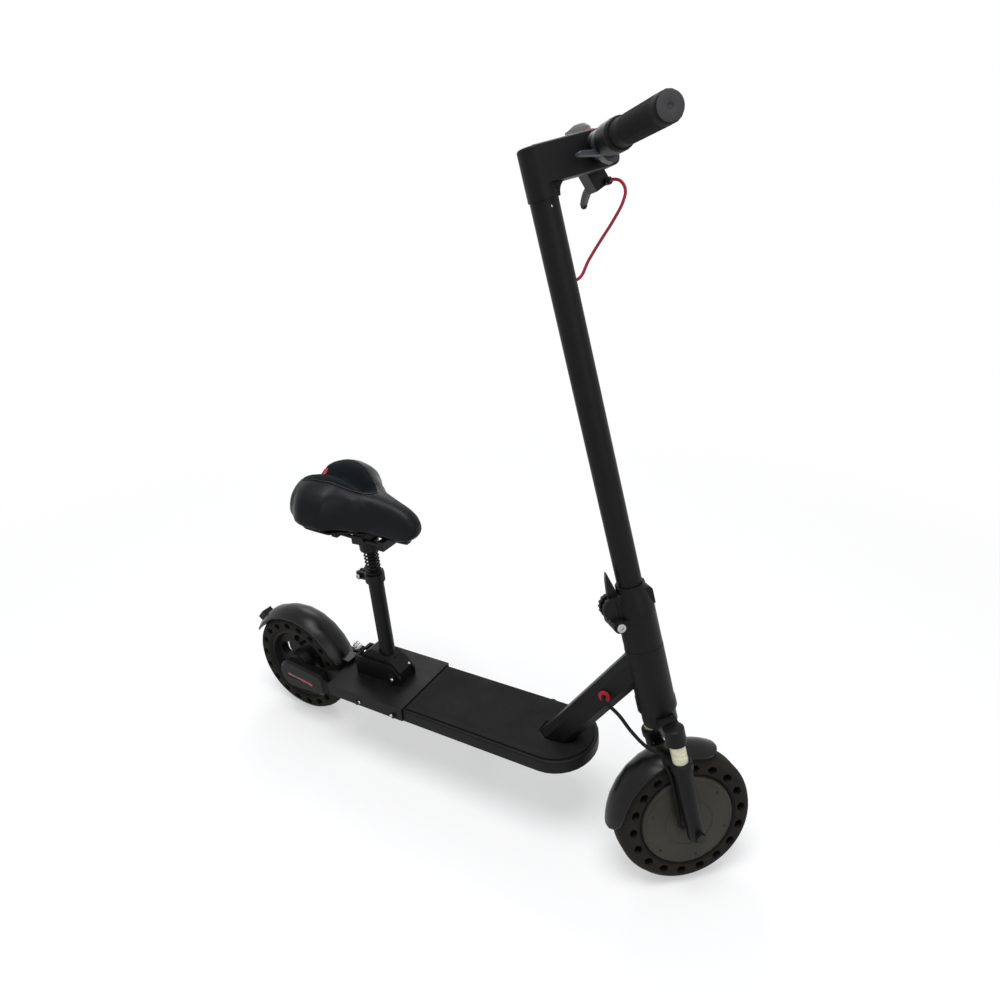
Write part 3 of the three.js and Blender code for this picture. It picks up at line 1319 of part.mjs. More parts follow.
function bellDome() {
  const outer = BELL_RADIUS;
  const inner = outer - BELL_WALL;
  const top = BELL_BASE + BELL_HEIGHT;
  const dome = turnedUp([
    [0, BELL_BASE - BELL_WALL],
    [inner - BELL_WALL * 2, BELL_BASE - BELL_WALL],
    [inner - BELL_WALL * 2, BELL_BASE],
    [BELL_PIN_RADIUS, BELL_BASE],
    [BELL_PIN_RADIUS, top - BELL_WALL * 2],
    [inner * BELL_CREST_SHARE, top - BELL_WALL * 3],
    [inner, BELL_BASE + BELL_WALL * 2],
    [inner, BELL_BASE + BELL_WALL],
    [outer, BELL_BASE + BELL_WALL],
    [outer * BELL_WAIST_SHARE, BELL_BASE + BELL_HEIGHT * BELL_CREST_SHARE],
    [outer * BELL_CREST_SHARE, top - BELL_WALL],
    [0, top],
  ]).translate(BELL_FORWARD, BELL_CENTRE, 0);
  const strap = turned(
    tubeProfile(barBore, BELL_STRAP_RADIUS, BELL_CENTRE - BELL_STRAP_HALF, BELL_CENTRE + BELL_STRAP_HALF),
  );
  const post = rod(
    BELL_STRAP_HALF,
    vector(BELL_STRAP_HALF, BELL_CENTRE, BAR_RADIUS + GAP * 2),
    vector(BELL_FORWARD, BELL_CENTRE, BELL_BASE - GAP),
  );
  const pinFoot = vector(BELL_FORWARD - STRIKER_PIN_BACK, BELL_CENTRE, BELL_BASE - BELL_WALL);
  const pin = rod(BELL_PIN_RADIUS, pinFoot, pinFoot.clone().add(vector(0, 0, STRIKER_THICKNESS * 2)));
  const tab = block(
    BELL_FORWARD - STRIKER_PIN_BACK - STRIKER_HALF,
    BELL_FORWARD,
    BELL_CENTRE - STRIKER_HALF,
    BELL_CENTRE + STRIKER_HALF,
    BELL_BASE - BELL_WALL * 2,
    BELL_BASE - BELL_WALL + GAP,
  );
  const core = rod(
    barBore,
    vector(0, BELL_CENTRE - BELL_RADIUS, 0),
    vector(0, BELL_CENTRE + BELL_RADIUS, 0),
    ROUND_SIDES,
  );
  return cut(join(dome, strap, post, tab, pin), core);
}

function bellStriker() {
  const foot = BELL_BASE - BELL_WALL + GAP * 2;
  const centre = vector(BELL_FORWARD - STRIKER_PIN_BACK, BELL_CENTRE, foot);
  const hub = rod(STRIKER_HALF, centre, centre.clone().add(vector(0, 0, STRIKER_THICKNESS)), ROUND_SIDES);
  const arm = block(
    centre.x - STRIKER_HALF,
    centre.x,
    centre.y,
    centre.y + STRIKER_LENGTH,
    foot,
    foot + STRIKER_THICKNESS,
  );
  const bore = rod(
    BELL_PIN_RADIUS + GAP,
    centre.clone().sub(vector(0, 0, OVERRUN)),
    centre.clone().add(vector(0, 0, STRIKER_THICKNESS + OVERRUN)),
  );
  return cut(join(hub, arm), bore);
}

// From the lever's barrel, round the front of the bars, and into the stem through its grommet
function brakeCable() {
  const path = CABLE_SHARES.map(([side, forward, up]) =>
    vector(
      BAR_FORWARD * (1 + forward),
      BRAKE_RING_INNER * side,
      BAR_HEIGHT + STEM_GROMMET_DROP * up,
    ),
  );
  path.push(vector(STEM_RADIUS + STEM_GROMMET_PROUD, 0, STEM_GROMMET_HEIGHT + GAP));
  path.push(vector(STEM_BORE - BRAKE_CABLE_DIAMETER, 0, STEM_GROMMET_HEIGHT));
  const grommetFrom = vector(STEM_RADIUS + GAP, 0, STEM_GROMMET_HEIGHT);
  const grommetTo = vector(STEM_RADIUS + GAP + STEM_GROMMET_PROUD, 0, STEM_GROMMET_HEIGHT);
  const grommet = rod(STEM_GROMMET_RADIUS, grommetFrom, grommetTo);
  return join(cable(path, BRAKE_CABLE_DIAMETER, CABLE_STEPS), grommet);
}

// Frame: head tube, neck and deck
const deckNormal = vector(-Math.sin(slope), 0, Math.cos(slope));
const deckAlong = vector(Math.cos(slope), 0, Math.sin(slope));
const deckPoint = (x, y, z) =>
  vector(DECK_REAR_X, y, DECK_REAR_HEIGHT).addScaledVector(deckAlong, x).addScaledVector(deckNormal, z);

function headTube() {
  const half = HEAD_TUBE_FOOT + HEAD_TUBE_FLARE_HEIGHT;
  return turnedUp(
    [
      [0, HEAD_TUBE_FOOT],
      [HEAD_TUBE_FLARE, HEAD_TUBE_FOOT],
      [HEAD_TUBE_FLARE, half],
      [HEAD_TUBE_RADIUS, half + FENDER_THICKNESS],
      [HEAD_TUBE_RADIUS, HEAD_TUBE_TOP],
      [0, HEAD_TUBE_TOP],
    ],
    STEM_SIDES,
  );
}

function headTubeBore() {
  const narrow = STEERER_RADIUS + RUNNING_GAP;
  return turnedUp([
    [0, HEAD_TUBE_FOOT - OVERRUN],
    [narrow, HEAD_TUBE_FOOT - OVERRUN],
    [narrow, HEAD_TUBE_FOOT + BEARING_HEIGHT],
    [HEAD_TUBE_BORE, HEAD_TUBE_FOOT + BEARING_HEIGHT],
    [HEAD_TUBE_BORE, HEAD_TUBE_TOP - BEARING_HEIGHT],
    [narrow, HEAD_TUBE_TOP - BEARING_HEIGHT],
    [narrow, HEAD_TUBE_TOP + OVERRUN],
    [0, HEAD_TUBE_TOP + OVERRUN],
  ]);
}

const raked = (geometry) => geometry.rotateY(-rake).translate(WHEELBASE, 0, frontAxleHeight);
const onDeck = (geometry) => geometry.rotateY(-slope).translate(DECK_REAR_X, 0, DECK_REAR_HEIGHT);

const neckTop = rakedPoint(0, 0, NECK_JOIN);
const neckFoot = deckPoint((NECK_FOOT_X - DECK_REAR_X) / Math.cos(slope), 0, 0);
const neckAlong = neckTop.clone().sub(neckFoot).normalize();
const neckAcross = vector(neckAlong.z, 0, -neckAlong.x);

// A section of the neck, with cut corners
function neckRing(centre, depth, width) {
  const corner = Math.min(depth, width) / 4;
  const points = [
    [-1, -1, 0],
    [-1, -1, 1],
    [1, -1, 1],
    [1, -1, 0],
    [1, 1, 0],
    [1, 1, 1],
    [-1, 1, 1],
    [-1, 1, 0],
  ];
  return points.map(([across, side, onSide]) => {
    const reach = depth / 2 - onSide * corner;
    const out = width / 2 - (1 - onSide) * corner;
    return centre.clone().addScaledVector(neckAcross, across * reach).add(vector(0, side * out, 0));
  });
}

function neckFrame() {
  const start = neckFoot.clone().addScaledVector(neckAlong, -NECK_DEPTH);
  const flare = neckFoot.clone().addScaledVector(neckAlong, NECK_FLARE_HEIGHT);
  const arm = loft([
    neckRing(start, NECK_DEPTH + NECK_FLARE, NECK_WIDTH + NECK_FLARE),
    neckRing(neckFoot, NECK_DEPTH + NECK_FLARE, NECK_WIDTH + NECK_FLARE),
    neckRing(flare, NECK_DEPTH, NECK_WIDTH),
    neckRing(neckTop, NECK_DEPTH, NECK_WIDTH),
  ]);
  const below = onDeck(block(0, DECK_LENGTH, -DECK_WIDTH, DECK_WIDTH, -DECK_LENGTH, GAP));
  const cablePort = rod(
    MOTOR_CABLE_DIAMETER / 2 + RUNNING_GAP * 2,
    grommetAt(-GROMMET_HEIGHT * 3),
    grommetAt(GROMMET_HEIGHT),
    ROUND_SIDES,
  );
  const mouthOut = (NECK_DEPTH + NECK_FLARE - NECK_PORT_DEPTH) / 2;
  const mouth = neckFoot.clone().addScaledVector(neckAcross, mouthOut);
  const port = onDeckBox(mouth.x, NECK_PORT_DEPTH, NECK_PORT_WIDTH, NECK_PORT_HEIGHT);
  return cut(join(raked(headTube()), arm), raked(headTubeBore()), below, cablePort, port);
}

// A cut that stands on the deck, round a place along the world's X
function onDeckBox(x, length, width, height) {
  const along = (x - DECK_REAR_X) / Math.cos(slope);
  return onDeck(block(along, along + length * 2, -width / 2, width / 2, -OVERRUN, height));
}

// Out from the neck's right side, where the motor cable enters
function grommetAt(out) {
  const share = (GROMMET_X - neckFoot.x) / (neckTop.x - neckFoot.x);
  const centre = neckFoot.clone().lerp(neckTop, share);
  return vector(centre.x, -NECK_WIDTH / 2 - out, centre.z);
}

function neckGrommet() {
  const ring = rod(GROMMET_RADIUS, grommetAt(GAP), grommetAt(GROMMET_HEIGHT), ROUND_SIDES);
  const bore = MOTOR_CABLE_DIAMETER / 2 + RUNNING_GAP;
  return cut(ring, rod(bore, grommetAt(-GROMMET_HEIGHT), grommetAt(GROMMET_HEIGHT * 2), ROUND_SIDES));
}

// A point of the steering frame, in the world
const steered = (forward, side, up) =>
  rakedPoint(
    forward * Math.cos(steer) - side * Math.sin(steer),
    forward * Math.sin(steer) + side * Math.cos(steer),
    up,
  );

const cableSide = LEG_OFFSET - LEG_RADIUS + MOTOR_CABLE_DIAMETER / 2;
const cableBack = LEG_RADIUS + MOTOR_CABLE_DIAMETER / 2 + GAP;
const cableJoin = LEG_TOP + FORK_TRAVEL / 4;

function motorCableUpper() {
  const start = grommetAt(-GROMMET_HEIGHT * 2);
  const mouth = grommetAt(GROMMET_HEIGHT * 2);
  const end = steered(-cableBack - SEAL_RADIUS / 4, -cableSide, cableJoin);
  const reach = end.clone().sub(mouth);
  const middle = UPPER_CABLE_SHARES.map(([x, y, z]) =>
    mouth.clone().add(vector(reach.x * x, reach.y * y, reach.z * z)),
  );
  const before = steered(-cableBack - SEAL_RADIUS / 4, -cableSide, cableJoin + MOTOR_CABLE_DIAMETER);
  const path = [start, grommetAt(GROMMET_HEIGHT), mouth, ...middle, before, end];
  return cable(path, MOTOR_CABLE_DIAMETER, CABLE_STEPS);
}

function motorCableLower() {
  const top = cableJoin - GAP;
  const lower = LOWER_CABLE_SHARES.map(([back, side, up]) =>
    vector(-cableBack * back, -cableSide * side, LEG_BORE_FLOOR * up),
  );
  const first = vector(-cableBack - SEAL_RADIUS / 4, -cableSide, top);
  const second = vector(first.x, first.y, top - MOTOR_CABLE_DIAMETER);
  return cable([first, second, ...lower], MOTOR_CABLE_DIAMETER, CABLE_STEPS);
}

// The deck's plan, turning left, with its nose as half an ellipse
function deckOutline(inset, start) {
  const half = DECK_WIDTH / 2 - inset;
  const points = [[start, -half]];
  for (let i = 0; i <= ROUND_SIDES; i += 1) {
    const angle = (i / ROUND_SIDES - 0.5) * Math.PI;
    const x = DECK_LENGTH - DECK_NOSE + (DECK_NOSE - inset) * Math.cos(angle);
    points.push([x, half * Math.sin(angle)]);
  }
  points.push([start, half]);
  return points;
}

const deckRing = (inset, z) => deckOutline(inset, inset).map(([x, y]) => vector(x, y, z));
const boxRing = (x0, x1, half, z) =>
  [[x0, -half], [x1, -half], [x1, half], [x0, half]].map(([x, y]) => vector(x, y, z));
const deckHalf = DECK_WIDTH / 2;

function deckFrameShell() {
  const shell = loft([
    deckRing(0, -DECK_SIDE),
    deckRing(0, -DECK_EDGE),
    deckRing(DECK_EDGE / 3, -DECK_EDGE / 3),
    deckRing(DECK_EDGE, 0),
  ]);
  const inside = outline(deckOutline(DECK_SIDE_WALL, DECK_SIDE_WALL));
  const hollow = slabZ(inside, -DECK_SIDE - OVERRUN, -DECK_TOP_WALL);
  const charge = rod(
    CHARGE_SOCKET_RADIUS,
    vector(CHARGE_SOCKET_X, deckHalf - DECK_SIDE_WALL - OVERRUN, -CHARGE_SOCKET_DROP),
    vector(CHARGE_SOCKET_X, deckHalf + OVERRUN, -CHARGE_SOCKET_DROP),
  );
  const along = STAND_X - DECK_REAR_X;
  const at = (y) => vector(along, y, -STAND_DROP);
  const pin = rod(STAND_PIN_RADIUS, at(deckHalf), at(standOuter + STAND_HEAD_HEIGHT), ROUND_SIDES);
  const head = rod(STAND_HEAD_RADIUS, at(standOuter + GAP), at(standOuter + STAND_HEAD_HEIGHT), HEX_SIDES);
  const foot = -STAND_DROP - STAND_HUB_RADIUS;
  const plate = outline([
    [along - STAND_PLATE_HALF, -STAND_PLATE_DROP],
    [along - STAND_HUB_RADIUS, foot],
    [along + STAND_HUB_RADIUS, foot],
    [along + STAND_PLATE_HALF, -STAND_PLATE_DROP],
  ]);
  const bracket = slabY(plate, deckHalf - GAP, standInner - GAP);
  return join(cut(shell, hollow, charge), pin, head, bracket);
}

const standInner = deckHalf + STAND_BOSS;
const standOuter = standInner + STAND_HUB_WIDTH;

// The leg leans out and forward to a flat pad on the ground
function kickstand() {
  const hubCentre = deckPoint(STAND_X - DECK_REAR_X, 0, -STAND_DROP);
  const hubAt = (y) => vector(hubCentre.x, y, hubCentre.z);
  const foot = vector(hubCentre.x + STAND_FOOT_FORWARD, STAND_FOOT_OUT, STAND_PAD_THICKNESS);
  const hub = rod(STAND_HUB_RADIUS, hubAt(standInner), hubAt(standOuter), ROUND_SIDES);
  const middle = (standInner + standOuter) / 2;
  const start = vector(hubCentre.x + STAND_RADIUS, middle, hubCentre.z - STAND_HUB_RADIUS);
  const leg = rod(STAND_RADIUS, start, foot);
  const pad = rod(STAND_PAD_RADIUS, vector(foot.x, foot.y, 0), foot, ROUND_SIDES);
  const bore = rod(STAND_PIN_RADIUS + GAP, hubAt(0), hubAt(standOuter + OVERRUN), ROUND_SIDES);
  return cut(join(hub, leg, pad), bore);
}

function chargeCap() {
  const out = deckHalf + GAP;
  const centre = vector(CHARGE_SOCKET_X, out, -CHARGE_SOCKET_DROP);
  const cap = rod(
    CHARGE_CAP_RADIUS,
    centre,
    centre.clone().add(vector(0, CHARGE_CAP_THICKNESS, 0)),
    ROUND_SIDES,
  );
  const foot = vector(0, CHARGE_HINGE_RADIUS, -CHARGE_CAP_RADIUS);
  const hinge = centre.clone().add(foot);
  const half = vector(CHARGE_CAP_RADIUS / 2, 0, 0);
  return join(cap, rod(CHARGE_HINGE_RADIUS, hinge.clone().sub(half), hinge.clone().add(half)));
}

function deckMat() {
  const start = SEAT_PLATE_LENGTH + OVERRUN;
  const mat = slabZ(outline(deckOutline(MAT_INSET, start)), GAP, GAP + MAT_THICKNESS);
  const footX = (NECK_FOOT_X - DECK_REAR_X) / Math.cos(slope);
  const reach = (NECK_DEPTH + NECK_FLARE) / 2 / neckAlong.z + MAT_NECK_GAP;
  const side = (NECK_WIDTH + NECK_FLARE) / 2 + MAT_NECK_GAP;
  const corner = side / 2;
  const hole = outline([
    [footX - reach, corner - side],
    [footX - reach + corner, -side],
    [footX + reach - corner, -side],
    [footX + reach, corner - side],
    [footX + reach, side - corner],
    [footX + reach - corner, side],
    [footX - reach + corner, side],
    [footX - reach, side - corner],
  ]);
  return cut(mat, slabZ(hole, -OVERRUN, OVERRUN * 2));
}

function deckBottomCover() {
  const top = -DECK_SIDE - GAP;
  const floor = top - TUB_DEPTH;
  const flange = slabZ(outline(deckOutline(DECK_EDGE / 2, DECK_EDGE / 2)), top - TUB_WALL, top);
  const slant = TUB_DEPTH / 2;
  const tub = (wall, over) => {
    const start = TUB_TOP_INSET + wall;
    const end = TUB_END - wall;
    return loft([
      boxRing(start + slant, end, deckHalf - TUB_FOOT_INSET - wall, floor + wall),
      boxRing(start, end + slant, deckHalf - TUB_TOP_INSET - wall, top + over),
    ]);
  };
  return cut(join(flange, tub(0, 0)), tub(TUB_WALL, GAP));
}

function batteryPack() {
  const foot = -DECK_SIDE - TUB_DEPTH + TUB_WALL;
  const half = BATTERY_WIDTH / 2;
  return loft([
    boxRing(BATTERY_START, BATTERY_START + BATTERY_LENGTH, half - DECK_EDGE, foot),
    boxRing(BATTERY_START, BATTERY_START + BATTERY_LENGTH, half, foot + DECK_EDGE),
    boxRing(BATTERY_START, BATTERY_START + BATTERY_LENGTH, half, foot + BATTERY_HEIGHT),
  ]);
}

// Rear frame, in the world: two plates from a cross block to the axle
function rearDropouts() {
  const blockBack = DECK_REAR_X - DROPOUT_BLOCK;
  const blockFoot = DECK_REAR_HEIGHT - DECK_SIDE;
  const crossFront = DECK_REAR_X - GAP;
  const side = outline([
    [crossFront, blockFoot],
    [crossFront, DECK_REAR_HEIGHT],
    [blockBack - DROPOUT_BLOCK, DECK_REAR_HEIGHT],
    [DISC_RADIUS, TYRE_RADIUS + DROPOUT_END_RADIUS + DROPOUT_FLARE_RISE],
    [0, TYRE_RADIUS + DROPOUT_END_RADIUS],
    [0, TYRE_RADIUS - DROPOUT_END_RADIUS],
    [DISC_RADIUS, TYRE_RADIUS - DROPOUT_END_RADIUS],
  ]);
  const outer = DROPOUT_INNER + DROPOUT_THICKNESS;
  const axleAt = (y) => vector(0, y, TYRE_RADIUS);
  const plates = [
    slabY(side, DROPOUT_INNER, outer),
    slabY(side, -outer, -DROPOUT_INNER),
    rod(DROPOUT_END_RADIUS, axleAt(DROPOUT_INNER), axleAt(outer), ROUND_SIDES),
    rod(DROPOUT_END_RADIUS, axleAt(-outer), axleAt(-DROPOUT_INNER), ROUND_SIDES),
  ];
  const cross = block(blockBack, crossFront, -outer, outer, blockFoot, DECK_REAR_HEIGHT);
  const tabAt = (y) => vector(caliperAt.x, y, caliperAt.z);
  const tab = join(
    rod(CALIPER_TAB_RADIUS, tabAt(DROPOUT_INNER), tabAt(outer), ROUND_SIDES),
    block(
      caliperAt.x - CALIPER_TAB_RADIUS,
      caliperAt.x + CALIPER_TAB_RADIUS,
      DROPOUT_INNER,
      outer,
      TYRE_RADIUS,
      caliperAt.z,
    ),
  );
  const axleHole = rod(AXLE_RADIUS + GAP, axleAt(-outer * 2), axleAt(outer * 2), ROUND_SIDES);
  const pinHole = rod(CALIPER_PIN_RADIUS + GAP, tabAt(0), tabAt(outer + OVERRUN));
  return cut(join(...plates, cross, tab), axleHole, pinHole);
}

const caliperAngle = THREE.MathUtils.degToRad(CALIPER_DEGREES);
const caliperAt = vector(
  CALIPER_RING * Math.cos(caliperAngle),
  0,
  TYRE_RADIUS + CALIPER_RING * Math.sin(caliperAngle),
);

// The caliper straddles the edge of the disc
function brakeCaliper() {
  const outer = DROPOUT_INNER - GAP;
  const inner = discInner - CALIPER_HALF;
  const half = CALIPER_LENGTH / 2;
  const body = block(-CALIPER_HEIGHT / 2, CALIPER_HEIGHT / 2, inner, outer, -half, half);
  const slot = block(
    -CALIPER_HEIGHT,
    DISC_RADIUS - CALIPER_RING + GAP * 2,
    discInner - RUNNING_GAP,
    discInner + DISC_THICKNESS + RUNNING_GAP,
    -half - OVERRUN,
    half + OVERRUN,
  );
  const boreFrom = vector(0, outer - CALIPER_HALF, 0);
  const bore = rod(CALIPER_PIN_RADIUS + GAP, boreFrom, vector(0, outer + OVERRUN, 0));
  return cut(body, slot, bore).rotateY(-caliperAngle).translate(caliperAt.x, 0, caliperAt.z);
}

function brakeArm() {
  const outer = DROPOUT_INNER + DROPOUT_THICKNESS + GAP;
  const pin = rod(
    CALIPER_PIN_RADIUS,
    vector(0, DROPOUT_INNER - CALIPER_HALF, 0),
    vector(0, outer + CALIPER_ARM_THICKNESS, 0),
  );
  const half = CALIPER_ARM_WIDTH / 2;
  const arm = block(0, CALIPER_ARM_LENGTH, outer, outer + CALIPER_ARM_THICKNESS, -half, half);
  const hub = rod(half, vector(0, outer, 0), vector(0, outer + CALIPER_ARM_THICKNESS, 0), ROUND_SIDES);
  const tip = rod(
    half,
    vector(CALIPER_ARM_LENGTH, outer, 0),
    vector(CALIPER_ARM_LENGTH, outer + CALIPER_ARM_THICKNESS, 0),
    ROUND_SIDES,
  );
  return join(pin, arm, hub, tip).rotateY(-caliperAngle).translate(caliperAt.x, 0, caliperAt.z);
}

// A moulded cap over the axle nut, hollow on its inner side
function rearCover(side) {
  const inner = DROPOUT_INNER + DROPOUT_THICKNESS + GAP;
  const outer = inner + COVER_THICKNESS;
  const ring = (inset, y) => {
    const half = COVER_HALF_HEIGHT - inset;
    const front = COVER_LENGTH - COVER_BACK - inset;
    const nose = COVER_FRONT_HALF - inset;
    const points = [];
    for (let i = 0; i <= SMALL_SIDES; i += 1) {
      const angle = Math.PI * (0.5 + i / SMALL_SIDES);
      points.push([half * Math.cos(angle) + COVER_HALF_HEIGHT - COVER_BACK, half * Math.sin(angle)]);
    }
    points.push([front - COVER_EDGE * 2, -nose], [front, -nose + COVER_EDGE * 2]);
    points.push([front, nose - COVER_EDGE * 2], [front - COVER_EDGE * 2, nose]);
    const placed = points.map(([x, z]) => vector(x, side * y, TYRE_RADIUS + z));
    return side > 0 ? placed.reverse() : placed;
  };
  const shell = loft([ring(0, inner), ring(0, outer - COVER_EDGE), ring(COVER_EDGE, outer)]);
  const hollow = loft([ring(COVER_WALL, inner - OVERRUN), ring(COVER_WALL, outer - COVER_WALL - COVER_EDGE)]);
  const y = [side * (outer - REFLECTOR_DEPTH), side * (outer + OVERRUN)].sort((a, b) => a - b);
  const strip = block(0, REFLECTOR_LENGTH, y[0], y[1], TYRE_RADIUS - REFLECTOR_HEIGHT, TYRE_RADIUS);
  return cut(shell, hollow, strip);
}

const rearFenderFoot = (DECK_REAR_HEIGHT - REAR_FENDER_FOOT_DROP - TYRE_RADIUS) / FENDER_RADIUS;
const rearFenderFront = THREE.MathUtils.radToDeg(Math.asin(rearFenderFoot));

function rearFender() {
  const arc = fenderShell(rearFenderFront, REAR_FENDER_BACK_DEGREES, 0, -FENDER_THICKNESS);
  const foot = DECK_REAR_HEIGHT + GAP;
  const inside = FENDER_RADIUS - FENDER_THICKNESS * 2;
  const back = Math.sqrt(inside ** 2 - (foot - TYRE_RADIUS) ** 2);
  const half = FENDER_HALF_WIDTH / 2;
  const tab = block(back, DECK_REAR_X - GAP * 2, -half, half, foot, foot + FENDER_LUG_HEIGHT);
  return join(arc.translate(0, 0, TYRE_RADIUS), tab);
}

function tailLight() {
  const half = TAIL_LIGHT_WIDTH / 2;
  const box = block(
    FENDER_RADIUS - FENDER_CROWN / 2,
    FENDER_RADIUS + TAIL_LIGHT_HEIGHT,
    -half,
    half,
    -TAIL_LIGHT_LENGTH / 2,
    TAIL_LIGHT_LENGTH / 2,
  ).rotateY(-THREE.MathUtils.degToRad(TAIL_LIGHT_DEGREES));
  const under = fenderShell(rearFenderFront, REAR_FENDER_BACK_DEGREES, GAP, -FENDER_RADIUS / 2);
  return cut(box, under).translate(0, 0, TYRE_RADIUS);
}

// Seat base, in the deck's frame
function seatBase() {
  const plateTop = GAP + SEAT_PLATE_THICKNESS;
  const flangeIn = deckHalf + GAP;
  const flangeOut = flangeIn + SEAT_PLATE_THICKNESS;
  const plate = block(0, SEAT_PLATE_LENGTH, -flangeOut, flangeOut, GAP, plateTop);
  const pieces = [plate];
  [-1, 1].forEach((side) => {
    const y = [side * flangeIn, side * flangeOut].sort((a, b) => a - b);
    pieces.push(block(0, SEAT_PLATE_LENGTH, y[0], y[1], plateTop - SEAT_FLANGE_HEIGHT, plateTop));
    SEAT_BOLT_SHARES.forEach((along) => {
      const at = (out) => vector(SEAT_PLATE_LENGTH * along, side * out, plateTop - SEAT_BOLT_DROP);
      pieces.push(rod(SEAT_BOLT_RADIUS, at(flangeOut - GAP), at(flangeOut + SEAT_BOLT_HEIGHT)));
    });
    const cheekIn = CHEEK_INNER;
    const cheekOut = CHEEK_INNER + CHEEK_THICKNESS;
    const cheek = outline([
      [CHEEK_BACK, GAP],
      [CHEEK_FRONT, GAP],
      [CHEEK_FRONT, CROSS_BOLT_HEIGHT],
      [CHEEK_FRONT - CHEEK_HEIGHT / 2, CHEEK_HEIGHT],
      [CHEEK_BACK, CHEEK_HEIGHT],
    ]);
    const span = [side * cheekIn, side * cheekOut].sort((a, b) => a - b);
    pieces.push(slabY(cheek, span[0], span[1]));
    const bolt = (out) => vector(CROSS_BOLT_X, side * out, CROSS_BOLT_HEIGHT);
    pieces.push(rod(CROSS_BOLT_HEAD, bolt(cheekOut - GAP), bolt(cheekOut + CROSS_BOLT_RADIUS), HEX_SIDES));
  });
  const crossBolt = (out) => vector(CROSS_BOLT_X, out, CROSS_BOLT_HEIGHT);
  const weldOut = CHEEK_INNER + WELD_SINK;
  pieces.push(rod(CROSS_BOLT_RADIUS, crossBolt(-weldOut), crossBolt(weldOut)));
  pieces.push(
    block(
      CHEEK_BACK,
      CHEEK_BACK + CHEEK_REAR_WALL,
      -weldOut,
      weldOut,
      GAP,
      CHEEK_HEIGHT,
    ),
  );
  const boss = latchTurned(
    rod(LATCH_KNOB_RADIUS, vector(-LATCH_KNOB_RADIUS, 0, 0), vector(LATCH_PIN_RADIUS, 0, 0), ROUND_SIDES),
  );
  const clear = block(
    CHEEK_BACK + CHEEK_REAR_WALL,
    CHEEK_FRONT,
    GAP - CHEEK_INNER,
    CHEEK_INNER - GAP,
    plateTop,
    CHEEK_HEIGHT * 2,
  );
  const bore = latchTurned(
    rod(LATCH_PIN_RADIUS + GAP, vector(-LATCH_PIN_LENGTH, 0, 0), vector(LATCH_PIN_LENGTH, 0, 0), ROUND_SIDES),
  );
  const shell = cut(join(...pieces.slice(0, -2), pieces[pieces.length - 1], cut(boss, clear)), bore);
  return join(shell, pieces[pieces.length - 2]);
}

function latchTurned(geometry) {
  return geometry
    .rotateY(THREE.MathUtils.degToRad(LATCH_DEGREES))
    .translate(CHEEK_BACK + CHEEK_REAR_WALL / 2, 0, LATCH_HEIGHT);
}

// A ribbed knob that pulls the pin back out of the seat tube's foot
function seatLatchPin() {
  const start = -LATCH_KNOB_RADIUS - GAP;
  const valley = LATCH_KNOB_RADIUS - LATCH_RIB_HEIGHT;
  const knob = [[0, start - LATCH_KNOB_LENGTH], [valley, start - LATCH_KNOB_LENGTH]];
  for (let i = 0; i < LATCH_RIB_COUNT; i += 1) {
    const pitch = LATCH_KNOB_LENGTH / LATCH_RIB_COUNT;
    const at = start - LATCH_KNOB_LENGTH + pitch * i;
    knob.push([LATCH_KNOB_RADIUS, at + pitch / 4], [LATCH_KNOB_RADIUS, at + pitch / 2]);
    knob.push([valley, at + (pitch * 3) / 4]);
  }
  knob.push([valley, start], [0, start]);
  const body = turned(knob).rotateZ(-Math.PI / 2);
  const pinFrom = vector(start - WELD_SINK, 0, 0);
  const pin = rod(LATCH_PIN_RADIUS, pinFrom, vector(LATCH_PIN_LENGTH / 2, 0, 0), ROUND_SIDES);
  return latchTurned(join(body, pin));
}

// Seat tube with its cast foot, in the seat's own leaning frame
function seatTube() {
  const tube = turnedUp([
    [0, SEAT_FOOT_RISE * 2],
    [SEAT_CUP_RADIUS - GAP * 4, SEAT_FOOT_RISE * 2],
    [SEAT_CUP_RADIUS - GAP * 4, SEAT_CUP_TOP],
    [SEAT_TUBE_RADIUS, SEAT_CUP_TOP + DECK_EDGE],
    [SEAT_TUBE_RADIUS, SEAT_TUBE_TOP],
    [0, SEAT_TUBE_TOP],
  ]);
  const half = CHEEK_INNER - GAP * 3;
  const plateTop = GAP + SEAT_PLATE_THICKNESS;
  const foot = plateTop + GAP;
  const rear = CHEEK_BACK + CHEEK_REAR_WALL + GAP;
  const shape = outline([
    [rear, foot],
    [CHEEK_FRONT - DECK_EDGE, foot],
    [CHEEK_FRONT - DECK_EDGE, CROSS_BOLT_HEIGHT + CROSS_BOLT_HEAD],
    [SEAT_TUBE_X + SEAT_TUBE_RADIUS, SEAT_CUP_TOP],
    [SEAT_TUBE_X - SEAT_TUBE_RADIUS, SEAT_FOOT_TOP],
    [SEAT_TUBE_X - SEAT_TUBE_RADIUS * 2, SEAT_FOOT_TOP],
    [rear, LATCH_HEIGHT],
  ]);
  const casting = slabY(shape, -half, half);
  const inSeat = seatLocal(casting);
  const boreTop = vector(0, 0, SEAT_TUBE_TOP + OVERRUN);
  const bore = rod(SEAT_TUBE_BORE, vector(0, 0, SEAT_TUBE_FLOOR), boreTop, ROUND_SIDES);
  const boltHole = seatLocal(
    rod(
      CROSS_BOLT_RADIUS + GAP,
      vector(CROSS_BOLT_X, -CHEEK_INNER * 2, CROSS_BOLT_HEIGHT),
      vector(CROSS_BOLT_X, CHEEK_INNER * 2, CROSS_BOLT_HEIGHT),
    ),
  );
  const pocket = seatLocal(
    latchTurned(
      rod(LATCH_PIN_RADIUS + GAP, vector(0, 0, 0), vector(LATCH_PIN_LENGTH / 2 + GAP * 2, 0, 0), ROUND_SIDES),
    ),
  );
  return cut(join(tube, inSeat), bore, boltHole, pocket);
}

